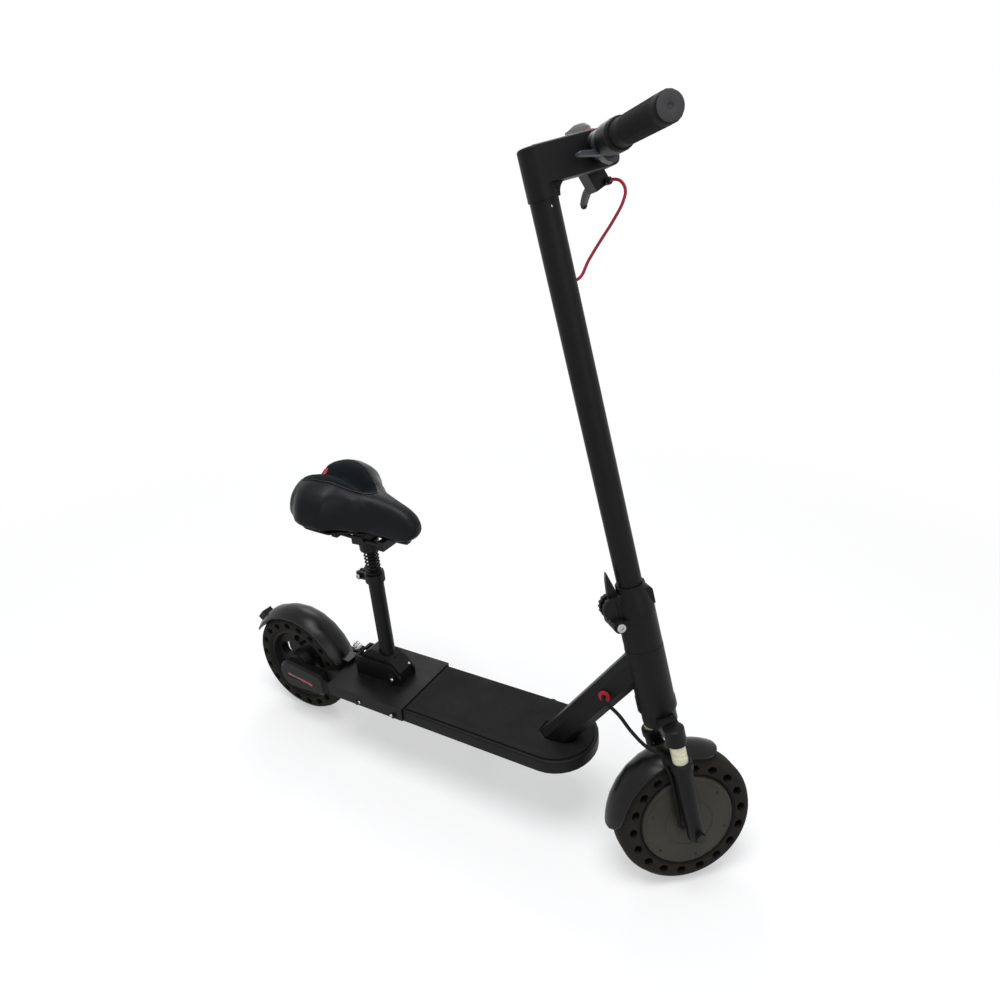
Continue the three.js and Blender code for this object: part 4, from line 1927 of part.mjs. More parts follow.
const seatLean = THREE.MathUtils.degToRad(SEAT_LEAN_DEGREES);

// From the deck's frame into the seat tube's own
function seatLocal(geometry) {
  return geometry.translate(-SEAT_TUBE_X, 0, 0).rotateY(seatLean);
}

function seatCollar() {
  const foot = SEAT_TUBE_TOP + GAP;
  const top = foot + COLLAR_HEIGHT;
  const ring = turnedUp([
    [0, foot],
    [COLLAR_RADIUS, foot],
    [COLLAR_RADIUS, top],
    [0, top],
  ]);
  const ears = block(
    -COLLAR_EAR_REACH,
    0,
    -COLLAR_EAR_HALF,
    COLLAR_EAR_HALF,
    foot + WELD_SINK,
    top - WELD_SINK,
  );
  const middle = (foot + top) / 2;
  const boltX = -COLLAR_EAR_REACH + COLLAR_BOLT_SETBACK;
  const at = (y) => vector(boltX, y, middle);
  const nutEnd = at(-COLLAR_EAR_HALF - COLLAR_NUT_HEIGHT);
  const camEnd = at(COLLAR_EAR_HALF + GAP + CLAMP_CAM_RADIUS + COLLAR_BOLT_RADIUS);
  const bolt = rod(COLLAR_BOLT_RADIUS, nutEnd, camEnd);
  const nut = hexNut(COLLAR_NUT_RADIUS, nutEnd, at(WELD_SINK - COLLAR_EAR_HALF));
  const bore = rod(POST_RADIUS + GAP, vector(0, 0, foot - OVERRUN), vector(0, 0, top + OVERRUN), ROUND_SIDES);
  const slot = block(
    -COLLAR_EAR_REACH - OVERRUN,
    0,
    -COLLAR_SLOT_HALF,
    COLLAR_SLOT_HALF,
    foot - OVERRUN,
    top + OVERRUN,
  );
  return join(cut(join(ring, ears), bore, slot), cut(bolt, bore), nut);
}

// A cam on the end of the collar's bolt, its handle laid forward beside the collar
function seatClampLever() {
  const foot = SEAT_TUBE_TOP + GAP;
  const middle = foot + COLLAR_HEIGHT / 2;
  const boltX = -COLLAR_EAR_REACH + COLLAR_BOLT_SETBACK;
  const camY = COLLAR_EAR_HALF + GAP + CLAMP_CAM_RADIUS;
  const half = CLAMP_LEVER_WIDTH / 2;
  const camAt = (z) => vector(boltX, camY, z);
  const cam = rod(CLAMP_CAM_RADIUS, camAt(middle - half), camAt(middle + half), ROUND_SIDES);
  const handle = block(
    boltX,
    boltX + CLAMP_LEVER_LENGTH + CLAMP_CAM_RADIUS,
    camY + CLAMP_CAM_RADIUS - CLAMP_LEVER_THICKNESS,
    camY + CLAMP_CAM_RADIUS,
    middle - half,
    middle + half,
  );
  const slotHalf = COLLAR_BOLT_RADIUS + RUNNING_GAP;
  const slot = block(
    boltX - CLAMP_CAM_RADIUS - OVERRUN,
    boltX + slotHalf + GAP * 3,
    camY - CLAMP_CAM_RADIUS - OVERRUN,
    camY + CLAMP_CAM_RADIUS + OVERRUN,
    middle - slotHalf,
    middle + slotHalf,
  );
  return cut(join(cam, handle), slot);
}

const collarTop = SEAT_TUBE_TOP + GAP + COLLAR_HEIGHT;
const flangeFoot = collarTop + GAP;
const flangeTop = flangeFoot + POST_FLANGE_HEIGHT;
const clampFoot = flangeTop + SPRING_LENGTH + GAP * 2;

function seatPost() {
  return turnedUp([
    [0, POST_FOOT],
    [POST_RADIUS, POST_FOOT],
    [POST_RADIUS, flangeFoot],
    [POST_FLANGE_RADIUS, flangeFoot],
    [POST_FLANGE_RADIUS, flangeTop],
    [POST_PIN_RADIUS, flangeTop],
    [POST_PIN_RADIUS, clampFoot + POST_FLANGE_HEIGHT * 2],
    [0, clampFoot + POST_FLANGE_HEIGHT * 2],
  ]);
}

function seatSpring() {
  const steps = Math.round(SPRING_TURNS * SPRING_STEPS_PER_TURN);
  const rise = SPRING_LENGTH - SPRING_WIRE;
  const rings = [];
  for (let i = 0; i <= steps; i += 1) {
    const turn = (i / SPRING_STEPS_PER_TURN) * 2 * Math.PI;
    const out = vector(Math.cos(turn), Math.sin(turn), 0);
    const centre = out.clone().multiplyScalar(SPRING_RADIUS);
    centre.z = flangeTop + GAP + SPRING_WIRE / 2 + (rise * i) / steps;
    const ring = [];
    for (let k = 0; k < SPRING_WIRE_SIDES; k += 1) {
      const angle = (k / SPRING_WIRE_SIDES) * 2 * Math.PI;
      const point = centre.clone().addScaledVector(out, (SPRING_WIRE / 2) * Math.cos(angle));
      point.z += (SPRING_WIRE / 2) * Math.sin(angle);
      ring.push(point);
    }
    rings.push(ring);
  }
  const gap = rise / SPRING_TURNS - SPRING_WIRE;
  console.log(`seat spring: least gap between curls ${gap.toFixed(2)} mm`);
  return loft(rings.map((ring) => ring.reverse()));
}

// Saddle, level in the world, in a frame on the clamp's top
const saddleTilt = seatLean + slope;

function level(x, y, z) {
  return vector(x, y, z).applyAxisAngle(vector(0, 1, 0), saddleTilt).add(vector(0, 0, saddleFoot));
}

const saddleFoot = clampFoot + SADDLE_CLAMP_HEIGHT;

function saddleClamp() {
  const barrel = turnedUp([
    [0, clampFoot],
    [SADDLE_CLAMP_RADIUS - DECK_EDGE, clampFoot],
    [SADDLE_CLAMP_RADIUS, clampFoot + DECK_EDGE],
    [SADDLE_CLAMP_RADIUS, saddleFoot],
    [0, saddleFoot],
  ]);
  const yokeHalf = RAIL_OFFSET + RAIL_RADIUS + DECK_EDGE;
  const yoke = block(
    -YOKE_HALF,
    YOKE_HALF,
    -yokeHalf,
    yokeHalf,
    saddleFoot - GAP,
    saddleFoot + RAIL_RISE + RAIL_RADIUS * 2,
  );
  const rails = [-1, 1].map((side) =>
    rod(
      RAIL_RADIUS,
      level(-RAIL_BACK, side * RAIL_OFFSET, RAIL_RISE),
      level(RAIL_FRONT, side * RAIL_OFFSET, RAIL_RISE),
    ),
  );
  const bore = rod(
    POST_PIN_RADIUS + RUNNING_GAP,
    vector(0, 0, clampFoot - OVERRUN),
    vector(0, 0, saddleFoot + SADDLE_CLAMP_RADIUS * 2),
    ROUND_SIDES,
  );
  return cut(join(barrel, yoke, ...rails), bore);
}

// Section of the saddle at a share of its length: half width, top and bottom
function saddleSection(share) {
  const last = SADDLE_SHARES.length - 1;
  let i = 0;
  while (i < last - 1 && SADDLE_SHARES[i + 1][0] < share) i += 1;
  const [from, to] = [SADDLE_SHARES[i], SADDLE_SHARES[i + 1]];
  const t = THREE.MathUtils.clamp((share - from[0]) / (to[0] - from[0]), 0, 1);
  const ease = t * t * (3 - 2 * t);
  return [1, 2, 3].map((k) => THREE.MathUtils.lerp(from[k], to[k], k === 1 ? ease : t));
}

function saddleRing(share) {
  const [width, high, low] = saddleSection(share);
  const half = width * SADDLE_HALF_WIDTH;
  const foot = SADDLE_LIFT + low * SADDLE_HEIGHT;
  const rise = (high - low) * SADDLE_HEIGHT - SADDLE_SKIRT;
  const x = share * SADDLE_LENGTH - SADDLE_BACK;
  const grooveLeft = THREE.MathUtils.clamp((SADDLE_GROOVE_END - share) / SADDLE_GROOVE_FADE, 0, 1);
  const grooveStart = Math.min(share / SADDLE_GROOVE_FADE + SADDLE_GROOVE_TAIL, 1);
  const grooveDepth = SADDLE_GROOVE * grooveStart * Math.sin((grooveLeft * Math.PI) / 2);
  const above = (across) => {
    const up = Math.sqrt(1 - Math.abs(across) ** SADDLE_SIDE_POWER) ** SADDLE_CROWN_POWER;
    const y = across * half;
    const groove = grooveDepth * Math.exp(-((y / SADDLE_GROOVE_HALF) ** 2));
    return vector(x, y, foot + SADDLE_SKIRT + rise * up - groove * up);
  };
  const below = (across) => {
    const down = Math.sqrt(1 - across ** 2);
    return vector(x, across * (half - SADDLE_SKIRT * down), foot + SADDLE_SKIRT * (1 - Math.sqrt(down)));
  };
  const mirrored = (shares) => [...shares, ...shares.slice(0, -1).reverse().map((across) => -across)];
  return [
    ...mirrored(SADDLE_TOP_SHARES).map(above),
    ...mirrored(SADDLE_FOOT_SHARES).reverse().map(below),
  ];
}

function saddleCushion() {
  const rings = [];
  for (let i = 0; i <= SADDLE_STATIONS; i += 1) {
    rings.push(saddleRing(i / SADDLE_STATIONS));
  }
  return loft(rings);
}

// The pan follows the cushion's underside, with blocks that hold the rails
function saddleShell() {
  const rings = [];
  for (let i = 1; i < SADDLE_STATIONS - 1; i += 1) {
    const share = i / SADDLE_STATIONS;
    const [width, , low] = saddleSection(share);
    const half = Math.max(width * SADDLE_HALF_WIDTH - SHELL_INSET - SADDLE_SKIRT, SHELL_INSET);
    const top = SADDLE_LIFT + low * SADDLE_HEIGHT - GAP;
    const x = -SADDLE_BACK + share * SADDLE_LENGTH;
    const foot = top - SHELL_HEIGHT;
    const corner = Math.min(SHELL_HEIGHT / 2, half / 2);
    rings.push([
      vector(x, half, top),
      vector(x, -half, top),
      vector(x, -half, top - corner),
      vector(x, -half + corner, foot),
      vector(x, half - corner, foot),
      vector(x, half, top - corner),
    ]);
  }
  const pan = loft(rings);
  const panMiddle = (x) => {
    const low = saddleSection((x + SADDLE_BACK) / SADDLE_LENGTH)[2];
    return SADDLE_LIFT + low * SADDLE_HEIGHT - SHELL_HEIGHT / 2;
  };
  const lugs = [-RAIL_BACK, RAIL_FRONT].map((x) =>
    block(
      x - RAIL_LUG,
      x + RAIL_LUG,
      -RAIL_OFFSET - RAIL_RADIUS * 2,
      RAIL_OFFSET + RAIL_RADIUS * 2,
      RAIL_RISE - RAIL_RADIUS * 2,
      panMiddle(x),
    ),
  );
  const holes = [-1, 1].map((side) =>
    rod(
      RAIL_RADIUS + GAP,
      vector(-RAIL_BACK - GAP, side * RAIL_OFFSET, RAIL_RISE),
      vector(RAIL_FRONT + GAP, side * RAIL_OFFSET, RAIL_RISE),
    ),
  );
  return cut(join(pan, ...lugs), ...holes);
}

// Front end
place(steerFrame, "front_tyre", tyre(FRONT_POCKET_DEGREES), RUBBER);
place(steerFrame, "hub_motor", hubMotor(), BLACK_PLASTIC);
place(steerFrame, "front_axle", axle(axleHalf), STEEL);
place(steerFrame, "fork_leg_right", forkLeg().translate(0, -LEG_OFFSET, 0), PAINT);
place(steerFrame, "fork_leg_left", forkLeg().translate(0, LEG_OFFSET, 0), PAINT);
place(steerFrame, "front_fender", frontFender(), GLOSS_PLASTIC);
place(steerFrame, "stanchion_right", stanchion().translate(0, -LEG_OFFSET, 0), CREAM);
place(steerFrame, "stanchion_left", stanchion().translate(0, LEG_OFFSET, 0), CREAM);
place(steerFrame, "fork_crown", forkCrown(), PAINT);
place(steerFrame, "motor_cable_lower", motorCableLower(), RUBBER);
place(scooter, "motor_cable_upper", motorCableUpper(), RUBBER);

// Fold joint and stem
place(steerFrame, "fold_base", foldBase(), PAINT);
place(steerFrame, "fold_pivot_bolt", foldPivotBolt(), STEEL);
place(steerFrame, "fold_clamp", foldClamp(), PAINT);
place(steerFrame, "latch_housing", latchHousing(), BLACK_PLASTIC);
place(steerFrame, "fold_lever", foldLever(), BLACK_PLASTIC);
place(steerFrame, "stem_tube", stemTube(), PAINT);
place(steerFrame, "display_head", displayHead(), PAINT);
place(steerFrame, "display_panel", displayPanel(), GLASS);
place(steerFrame, "power_button", powerButton(), RED_RUBBER);
place(steerFrame, "headlight", headlight(), GLASS);
place(steerFrame, "brake_cable", brakeCable(), RED_RUBBER);

// Bars
const barFrame = new THREE.Group();
barFrame.position.set(BAR_FORWARD, 0, BAR_HEIGHT);
const brakeFrame = new THREE.Group();
brakeFrame.rotation.y = -THREE.MathUtils.degToRad(BRAKE_DROOP_DEGREES);
barFrame.add(brakeFrame);
steerFrame.add(barFrame);
place(barFrame, "handlebar", handlebar(), PAINT);
place(barFrame, "grip_left", grip(1), RUBBER);
place(barFrame, "grip_right", grip(-1), RUBBER);
place(barFrame, "throttle_housing", throttleHousing(), BLACK_PLASTIC);
place(barFrame, "throttle_lever", throttleLever(), LIGHT_GREY);
place(barFrame, "bell_dome", bellDome(), STEEL);
place(barFrame, "bell_striker", bellStriker(), BLACK_PLASTIC);
place(brakeFrame, "brake_bracket", brakeBracket(), BLACK_PLASTIC);
place(brakeFrame, "brake_lever", brakeLever(), PAINT);

// Frame
place(scooter, "neck_frame", neckFrame(), PAINT);
place(scooter, "neck_grommet", neckGrommet(), RED_RUBBER);
place(deckFrame, "deck_frame", deckFrameShell(), PAINT);
place(deckFrame, "charge_cap", chargeCap(), RUBBER);
place(deckFrame, "deck_mat", deckMat(), RUBBER);
place(deckFrame, "deck_bottom_cover", deckBottomCover(), PAINT);
place(deckFrame, "battery_pack", batteryPack(), BLACK_PLASTIC);
place(scooter, "kickstand_leg", kickstand(), PAINT);

// Rear end
const rearWheel = new THREE.Group();
rearWheel.position.set(0, 0, TYRE_RADIUS);
scooter.add(rearWheel);
place(rearWheel, "rear_tyre", tyre(REAR_POCKET_DEGREES), RUBBER);
place(rearWheel, "rear_rim", rearRim(), PAINT);
place(rearWheel, "brake_disc", brakeDisc(), STEEL);
place(rearWheel, "rear_axle", axle(DROPOUT_INNER + DROPOUT_THICKNESS + GAP), STEEL);
place(scooter, "rear_dropouts", rearDropouts(), PAINT);
place(scooter, "rear_cover_right", rearCover(-1), BLACK_PLASTIC);
place(scooter, "rear_cover_left", rearCover(1), BLACK_PLASTIC);
place(scooter, "rear_fender", rearFender(), GLOSS_PLASTIC);
place(scooter, "tail_light", tailLight(), BLACK_PLASTIC);
place(scooter, "brake_caliper", brakeCaliper(), STEEL);
place(scooter, "brake_arm", brakeArm(), STEEL);

// Seat
place(deckFrame, "seat_base", seatBase(), PAINT);
place(deckFrame, "seat_latch_pin", seatLatchPin(), STEEL);
place(seatFrame, "seat_tube", seatTube(), PAINT);
place(seatFrame, "seat_collar", seatCollar(), BLACK_PLASTIC);
place(seatFrame, "seat_clamp_lever", seatClampLever(), BLACK_PLASTIC);
place(seatFrame, "seat_post", seatPost(), PAINT);
place(seatFrame, "seat_spring", seatSpring(), PAINT);
place(seatFrame, "saddle_clamp", saddleClamp(), BLACK_PLASTIC);
saddleFrame.position.set(0, 0, saddleFoot);
saddleFrame.rotation.y = saddleTilt;
seatFrame.add(saddleFrame);
place(saddleFrame, "saddle_shell", saddleShell(), BLACK_PLASTIC);
place(saddleFrame, "saddle_cushion", saddleCushion(), LEATHER);

export default scooter;
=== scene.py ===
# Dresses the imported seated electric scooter: finishes, saddle padding, trim and the stage of the photo.
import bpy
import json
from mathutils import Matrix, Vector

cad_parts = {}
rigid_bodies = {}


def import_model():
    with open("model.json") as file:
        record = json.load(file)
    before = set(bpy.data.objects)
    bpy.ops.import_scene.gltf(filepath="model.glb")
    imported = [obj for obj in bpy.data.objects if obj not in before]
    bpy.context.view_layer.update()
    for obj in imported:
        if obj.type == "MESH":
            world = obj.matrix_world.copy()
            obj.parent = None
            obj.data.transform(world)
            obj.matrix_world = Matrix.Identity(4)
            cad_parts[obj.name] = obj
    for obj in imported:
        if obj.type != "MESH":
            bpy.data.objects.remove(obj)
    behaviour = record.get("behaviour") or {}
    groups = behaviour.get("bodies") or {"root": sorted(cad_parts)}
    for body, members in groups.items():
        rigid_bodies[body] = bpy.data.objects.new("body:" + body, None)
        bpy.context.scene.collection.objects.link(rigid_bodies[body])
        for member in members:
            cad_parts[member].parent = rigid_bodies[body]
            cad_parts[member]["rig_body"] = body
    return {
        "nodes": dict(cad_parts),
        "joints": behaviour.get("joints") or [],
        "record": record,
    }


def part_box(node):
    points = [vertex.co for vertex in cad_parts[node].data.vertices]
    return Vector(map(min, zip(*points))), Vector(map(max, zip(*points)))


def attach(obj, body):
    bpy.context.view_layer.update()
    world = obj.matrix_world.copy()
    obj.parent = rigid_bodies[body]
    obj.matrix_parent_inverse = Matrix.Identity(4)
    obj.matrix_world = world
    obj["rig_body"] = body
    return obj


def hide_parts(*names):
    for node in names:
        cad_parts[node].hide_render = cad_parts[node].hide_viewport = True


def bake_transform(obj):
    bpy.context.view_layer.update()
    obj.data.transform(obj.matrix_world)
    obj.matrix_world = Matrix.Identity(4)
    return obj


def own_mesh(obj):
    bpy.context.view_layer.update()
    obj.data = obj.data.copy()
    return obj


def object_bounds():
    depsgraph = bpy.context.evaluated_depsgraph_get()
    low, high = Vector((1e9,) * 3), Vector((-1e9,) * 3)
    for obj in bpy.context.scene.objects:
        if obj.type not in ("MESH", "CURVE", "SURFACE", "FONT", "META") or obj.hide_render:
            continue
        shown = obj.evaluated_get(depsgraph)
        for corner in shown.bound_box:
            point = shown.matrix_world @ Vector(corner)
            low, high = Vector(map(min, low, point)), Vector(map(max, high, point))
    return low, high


bl_info = {
    "name": "Seated electric scooter dressing",
    "version": (1, 0, 0),
    "blender": (4, 5, 0),
    "location": "View3D > Sidebar > Scooter",
    "description": "Gives a packed seated scooter its finishes, saddle padding, trim and stage",
    "category": "Object",
}

import json
import math

import bmesh
import bpy
import numpy as np
from mathutils import Matrix, Vector
from mathutils.bvhtree import BVHTree

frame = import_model()
CAD_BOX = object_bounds()
NODES = frame["nodes"]
SLOTS = {part["node"]: part["material_slot"] for part in frame["record"]["subparts"]}
JOINTS = {joint["name"]: joint for joint in frame["joints"]}

WORLD_UP = Vector((0, 0, 1))
WORLD_SIDE = Vector((0, 1, 0))
# The steered front end: up along the steering axis, to the left and forwards
STEER_UP = Vector(JOINTS["steer"]["axis"]).normalized()
STEER_SIDE = Vector(JOINTS["front_wheel_spin"]["axis"]).normalized()
STEER_FORWARD = STEER_SIDE.cross(STEER_UP)
FRONT_HUB = Vector(JOINTS["front_wheel_spin"]["pos_m"])
REAR_HUB = Vector(JOINTS["rear_wheel_spin"]["pos_m"])
WHEEL_RADIUS = REAR_HUB.z
# The charge cap's hinge lies along the deck, which slopes a little
DECK_UP = -Vector(JOINTS["charge_cap"]["axis"]).normalized().cross(WORLD_SIDE)
# Each tyre's body, hub, axle and the direction that its bars are counted from
WHEELS = {
    "front_tyre": ("front_wheel", FRONT_HUB, STEER_SIDE, STEER_UP),
    "rear_tyre": ("rear_wheel", REAR_HUB, WORLD_SIDE, WORLD_UP),
}

# The photo's view, fitted to the object
CAMERA_PLACE = Vector((0.9872, -0.8984, 1.0779))
CAMERA_YAW, CAMERA_PITCH, CAMERA_ROLL = (math.radians(angle) for angle in (122.5, -26.6, -1.8))
PHOTO_SIDE = 1000
FOCAL_PIXELS = 772.7
PRINCIPAL_X = 472.7
PRINCIPAL_Y = 510.9
SENSOR = 36.0
NEAREST = 0.01


def colour_setting(name, description, default):
    return bpy.props.FloatVectorProperty(
        name=name, description=description, subtype="COLOR", size=3, min=0, max=1, default=default
    )


def length_setting(name, description, default):
    return bpy.props.FloatProperty(
        name=name, description=description, unit="LENGTH", default=default, precision=5
    )


def number_setting(name, description, default):
    return bpy.props.FloatProperty(name=name, description=description, default=default)


def count_setting(name, description, default):
    return bpy.props.IntProperty(name=name, description=description, default=default, min=1)


class ScooterFinishSettings(bpy.types.PropertyGroup):
    """Colours of the scooter's finishes"""

    paint: colour_setting("Paint", "Powder coat of the frame, stem and deck", (0.0034, 0.0034, 0.0041))
    plastic: colour_setting("Plastic", "Moulded black parts", (0.0028, 0.0028, 0.0031))
    fender: colour_setting("Fender", "Smooth moulded fenders", (0.0034, 0.0035, 0.0042))
    tyre: colour_setting("Tyre", "Solid tyre rubber", (0.0100, 0.0092, 0.0076))
    rubber: colour_setting("Rubber", "Grips, mat and leads", (0.0046, 0.0045, 0.0045))
    # Painted light: the grip caps are the same rubber as the grips, coloured lighter because their ends face
    # the light
    grip_cap: colour_setting("Grip cap", "Ends of the grips", (0.042, 0.042, 0.044))
    red: colour_setting("Red", "Brake cable, grommets and button", (0.30, 0.008, 0.026))
    insert: colour_setting("Insert", "Red insert at the saddle's tail", (0.50, 0.010, 0.03))
    steel: colour_setting("Steel", "Bolts, pins and the brake disc", (0.46, 0.46, 0.46))
    dark_steel: colour_setting("Blackened steel", "Front axle and the covers' screws", (0.035, 0.035, 0.035))
    stanchion: colour_setting("Stanchion", "Cream inner tubes of the fork", (0.64, 0.62, 0.44))
    bell: colour_setting("Bell", "Plated dome of the bell", (0.15, 0.15, 0.15))
    hub: colour_setting("Hub", "Painted covers of the hub motor", (0.032, 0.0295, 0.0230))
    leather: colour_setting("Leather", "Smooth cover of the saddle", (0.0016, 0.0020, 0.0032))
    fabric: colour_setting("Fabric", "Woven panel of the saddle", (0.0014, 0.0026, 0.0034))
    lens: colour_setting("Lens", "Red reflectors and tail lamp", (0.18, 0.008, 0.018))
    lever: colour_setting("Lever", "Blade of the throttle", (0.036, 0.039, 0.049))
    display: colour_setting("Display", "Dark glass of the display", (0.003, 0.003, 0.004))
    lamp_glass: colour_setting("Lamp glass", "Glass of the headlight", (0.28, 0.30, 0.32))
    mark: colour_setting("Mark", "Marks on the display", (0.30, 0.32, 0.33))


class ScooterSaddleSettings(bpy.types.PropertyGroup):
    """Padding and seams of the saddle"""

    voxel: length_setting("Cell", "Cell of the remeshed pad", 0.0045)
    shrink: length_setting("Start inset", "How much smaller the pad starts", 0.0022)
    pressure: number_setting("Pressure", "Air pressure inside the cover", 4.0)
    cap: length_setting("Swell limit", "The furthest that a point may swell", 0.0042)
    piping: length_setting("Piping", "Radius of the sewn piping", 0.0012)
    stitch: length_setting("Stitch", "Length of one stitch", 0.0030)
    stitch_pitch: length_setting("Stitch pitch", "From one stitch to the next", 0.0052)


class ScooterTrimSettings(bpy.types.PropertyGroup):
    """Small parts and surface relief"""

    mat_rib_pitch: length_setting("Mat rib pitch", "From one mat rib to the next", 0.0052)
    mat_rib: length_setting("Mat rib", "Radius of one mat rib", 0.0007)
    tread_count: count_setting("Tread bars", "Bars around each tyre's shoulder", 64)
    tread_bar: length_setting("Tread bar", "Radius of one tread bar", 0.0006)
    screw: length_setting("Screw", "Radius of a small screw head", 0.0032)
    hub_screws: count_setting("Hub screws", "Screws around each hub cover", 6)
    lead: length_setting("Motor lead", "Diameter of the motor lead", 0.0056)
    brake_cable: length_setting("Brake cable", "Diameter of the brake cable", 0.0040)
    edge: length_setting("Edge", "How far most edges are rounded", 0.0005)
    numeral: length_setting("Numeral", "Width of one numeral on the display", 0.0065)


class ScooterStageSettings(bpy.types.PropertyGroup):
    """Floor, lamps and backdrop"""

    floor: colour_setting("Floor", "Pale floor", (0.93, 0.93, 0.935))
    floor_size: length_setting("Floor size", "Side of the floor", 14.0)
    sky: number_setting("Sky", "Strength of the soft light all round", 0.45)
    key: number_setting("Key lamp", "Power of the large lamp above", 84.0)
    fill: number_setting("Fill lamp", "Power of the lamp beside the camera", 16.0)
    rim: number_setting("Rim lamp", "Power of the lamp behind", 22.0)


# Node trees of the finishes


def put(tree, socket, value):
    """Gives an input its value, or links it to the output that the value is"""
    if isinstance(value, bpy.types.NodeSocket):
        tree.links.new(value, socket)
    else:
        socket.default_value = value


def add_node(tree, kind, values=None, **settings):
    node = tree.nodes.new(kind)
    for key, value in settings.items():
        setattr(node, key, value)
    for key, value in (values or {}).items():
        put(tree, node.inputs[key], value)
    return node


def new_group(name, inputs, outputs):
    """A node group of plain numbers, and its inputs by name"""
    group = bpy.data.node_groups.new(name, "ShaderNodeTree")
    for label, default in inputs.items():
        socket = group.interface.new_socket(name=label, in_out="INPUT", socket_type="NodeSocketFloat")
        socket.default_value = default
    for label in outputs:
        group.interface.new_socket(name=label, in_out="OUTPUT", socket_type="NodeSocketFloat")
    return group, group.nodes.new("NodeGroupInput").outputs


def closed_group(group, **outputs):
    add_node(group, "NodeGroupOutput", outputs)
    return group


def math_node(tree, operation, first, second=0.0):
    return add_node(tree, "ShaderNodeMath", {0: first, 1: second}, operation=operation).outputs[0]


def mapped(tree, value, low, high, new_low=0.0, new_high=1.0):
    """A value brought from one range to another"""
    values = {"Value": value, 1: low, 2: high, 3: new_low, 4: new_high}
    return add_node(tree, "ShaderNodeMapRange", values).outputs["Result"]


def object_place(tree):
    return add_node(tree, "ShaderNodeTexCoord").outputs["Object"]


def surface(tree, label):
    return add_node(tree, "ShaderNodeNewGeometry").outputs[label]


def noise(tree, place, scale, **values):
    return add_node(tree, "ShaderNodeTexNoise", {"Vector": place, "Scale": scale, **values}).outputs[0]


def grain_group():
    """Moulded or powdery grain: a fine height and a slow tone"""
    group, given = new_group("Grain", {"Scale": 900.0, "Blotch": 14.0}, ("Height", "Tone"))
    place = object_place(group)
    fine = noise(group, place, given["Scale"], Detail=3.0, Roughness=0.6)
    slow = noise(group, place, given["Blotch"], Detail=4.0, Roughness=0.55, Distortion=0.4)
    return closed_group(group, Height=fine, Tone=mapped(group, slow, 0.3, 0.7))


def wear_group():
    """Rubbed edges: where the rounded normal leaves the flat one, broken up by noise"""
    group, given = new_group("Edge wear", {"Width": 0.0012, "Breakup": 160.0}, ("Mask",))
    rounded = add_node(group, "ShaderNodeBevel", {"Radius": given["Width"]}, samples=4).outputs["Normal"]
    flat = surface(group, "Normal")
    likeness = add_node(group, "ShaderNodeVectorMath", {0: rounded, 1: flat}, operation="DOT_PRODUCT")
    edge = mapped(group, likeness.outputs["Value"], 0.97, 0.80)
    patches = noise(group, object_place(group), given["Breakup"], Detail=5.0, Roughness=0.7)
    return closed_group(group, Mask=math_node(group, "MULTIPLY", edge, mapped(group, patches, 0.42, 0.62)))


def dust_group():
    """Fine dust that settles on what faces up"""
    group, given = new_group("Dust", {"Scale": 30.0, "Amount": 0.2}, ("Mask",))
    upward = add_node(group, "ShaderNodeSeparateXYZ", {0: surface(group, "Normal")}).outputs["Z"]
    cloud = noise(group, object_place(group), given["Scale"], Detail=7.0, Roughness=0.72)
    settled = math_node(group, "MULTIPLY", mapped(group, upward, 0.2, 1.0), mapped(group, cloud, 0.35, 0.75))
    return closed_group(group, Mask=math_node(group, "MULTIPLY", settled, given["Amount"]))


def weave_group():
    """Threads that pass over and under each other"""
    group, given = new_group("Weave", {"Scale": 420.0}, ("Height", "Tone"))
    values = {0: object_place(group), "Scale": given["Scale"]}
    place = add_node(group, "ShaderNodeVectorMath", values, operation="SCALE").outputs[0]
    split = add_node(group, "ShaderNodeSeparateXYZ", {0: place})
    along, across = (
        math_node(group, "ABSOLUTE", math_node(group, "SINE", split.outputs[axis])) for axis in ("X", "Y")
    )
    values = {"Vector": place, "Scale": 1.0 / math.pi}
    turn = add_node(group, "ShaderNodeTexChecker", values).outputs["Fac"]
    over = math_node(group, "MULTIPLY", along, turn)
    under = math_node(group, "MULTIPLY", across, math_node(group, "SUBTRACT", 1.0, turn))
    height = math_node(group, "ADD", over, under)
    return closed_group(group, Height=height, Tone=mapped(group, height, 0.0, 1.0, 0.55, 1.0))


def hide_group():
    """Leather grain: small cells with creases between them"""
    group, given = new_group("Hide", {"Scale": 620.0}, ("Height", "Tone"))
    place = object_place(group)
    values = {"Vector": place, "Scale": given["Scale"], "Randomness": 1.0}
    cells = add_node(group, "ShaderNodeTexVoronoi", values, feature="DISTANCE_TO_EDGE").outputs["Distance"]
    slow = noise(group, place, 22.0, Detail=4.0)
    return closed_group(group, Height=mapped(group, cells, 0.0, 0.25), Tone=mapped(group, slow, 0.3, 0.7))


def brushed_group():
    """Fine turning lines around an axis"""
    group, given = new_group("Brushed", {"Scale": 60.0, "Stretch": 26.0}, ("Height", "Tone"))
    stretch = add_node(group, "ShaderNodeCombineXYZ", {"X": 1.0, "Y": 1.0, "Z": given["Stretch"]}).outputs[0]
    values = {0: object_place(group), 1: stretch}
    place = add_node(group, "ShaderNodeVectorMath", values, operation="MULTIPLY").outputs[0]
    lines = noise(group, place, given["Scale"], Detail=4.0, Roughness=0.6)
    return closed_group(group, Height=lines, Tone=mapped(group, lines, 0.35, 0.65))


GROUP_MAKERS = {
    "Grain": grain_group,
    "Edge wear": wear_group,
    "Dust": dust_group,
    "Weave": weave_group,
    "Hide": hide_group,
    "Brushed": brushed_group,
}


def use_group(tree, name, values):
    group = bpy.data.node_groups.get(name) or GROUP_MAKERS[name]()
    return add_node(tree, "ShaderNodeGroup", values, node_tree=group).outputs


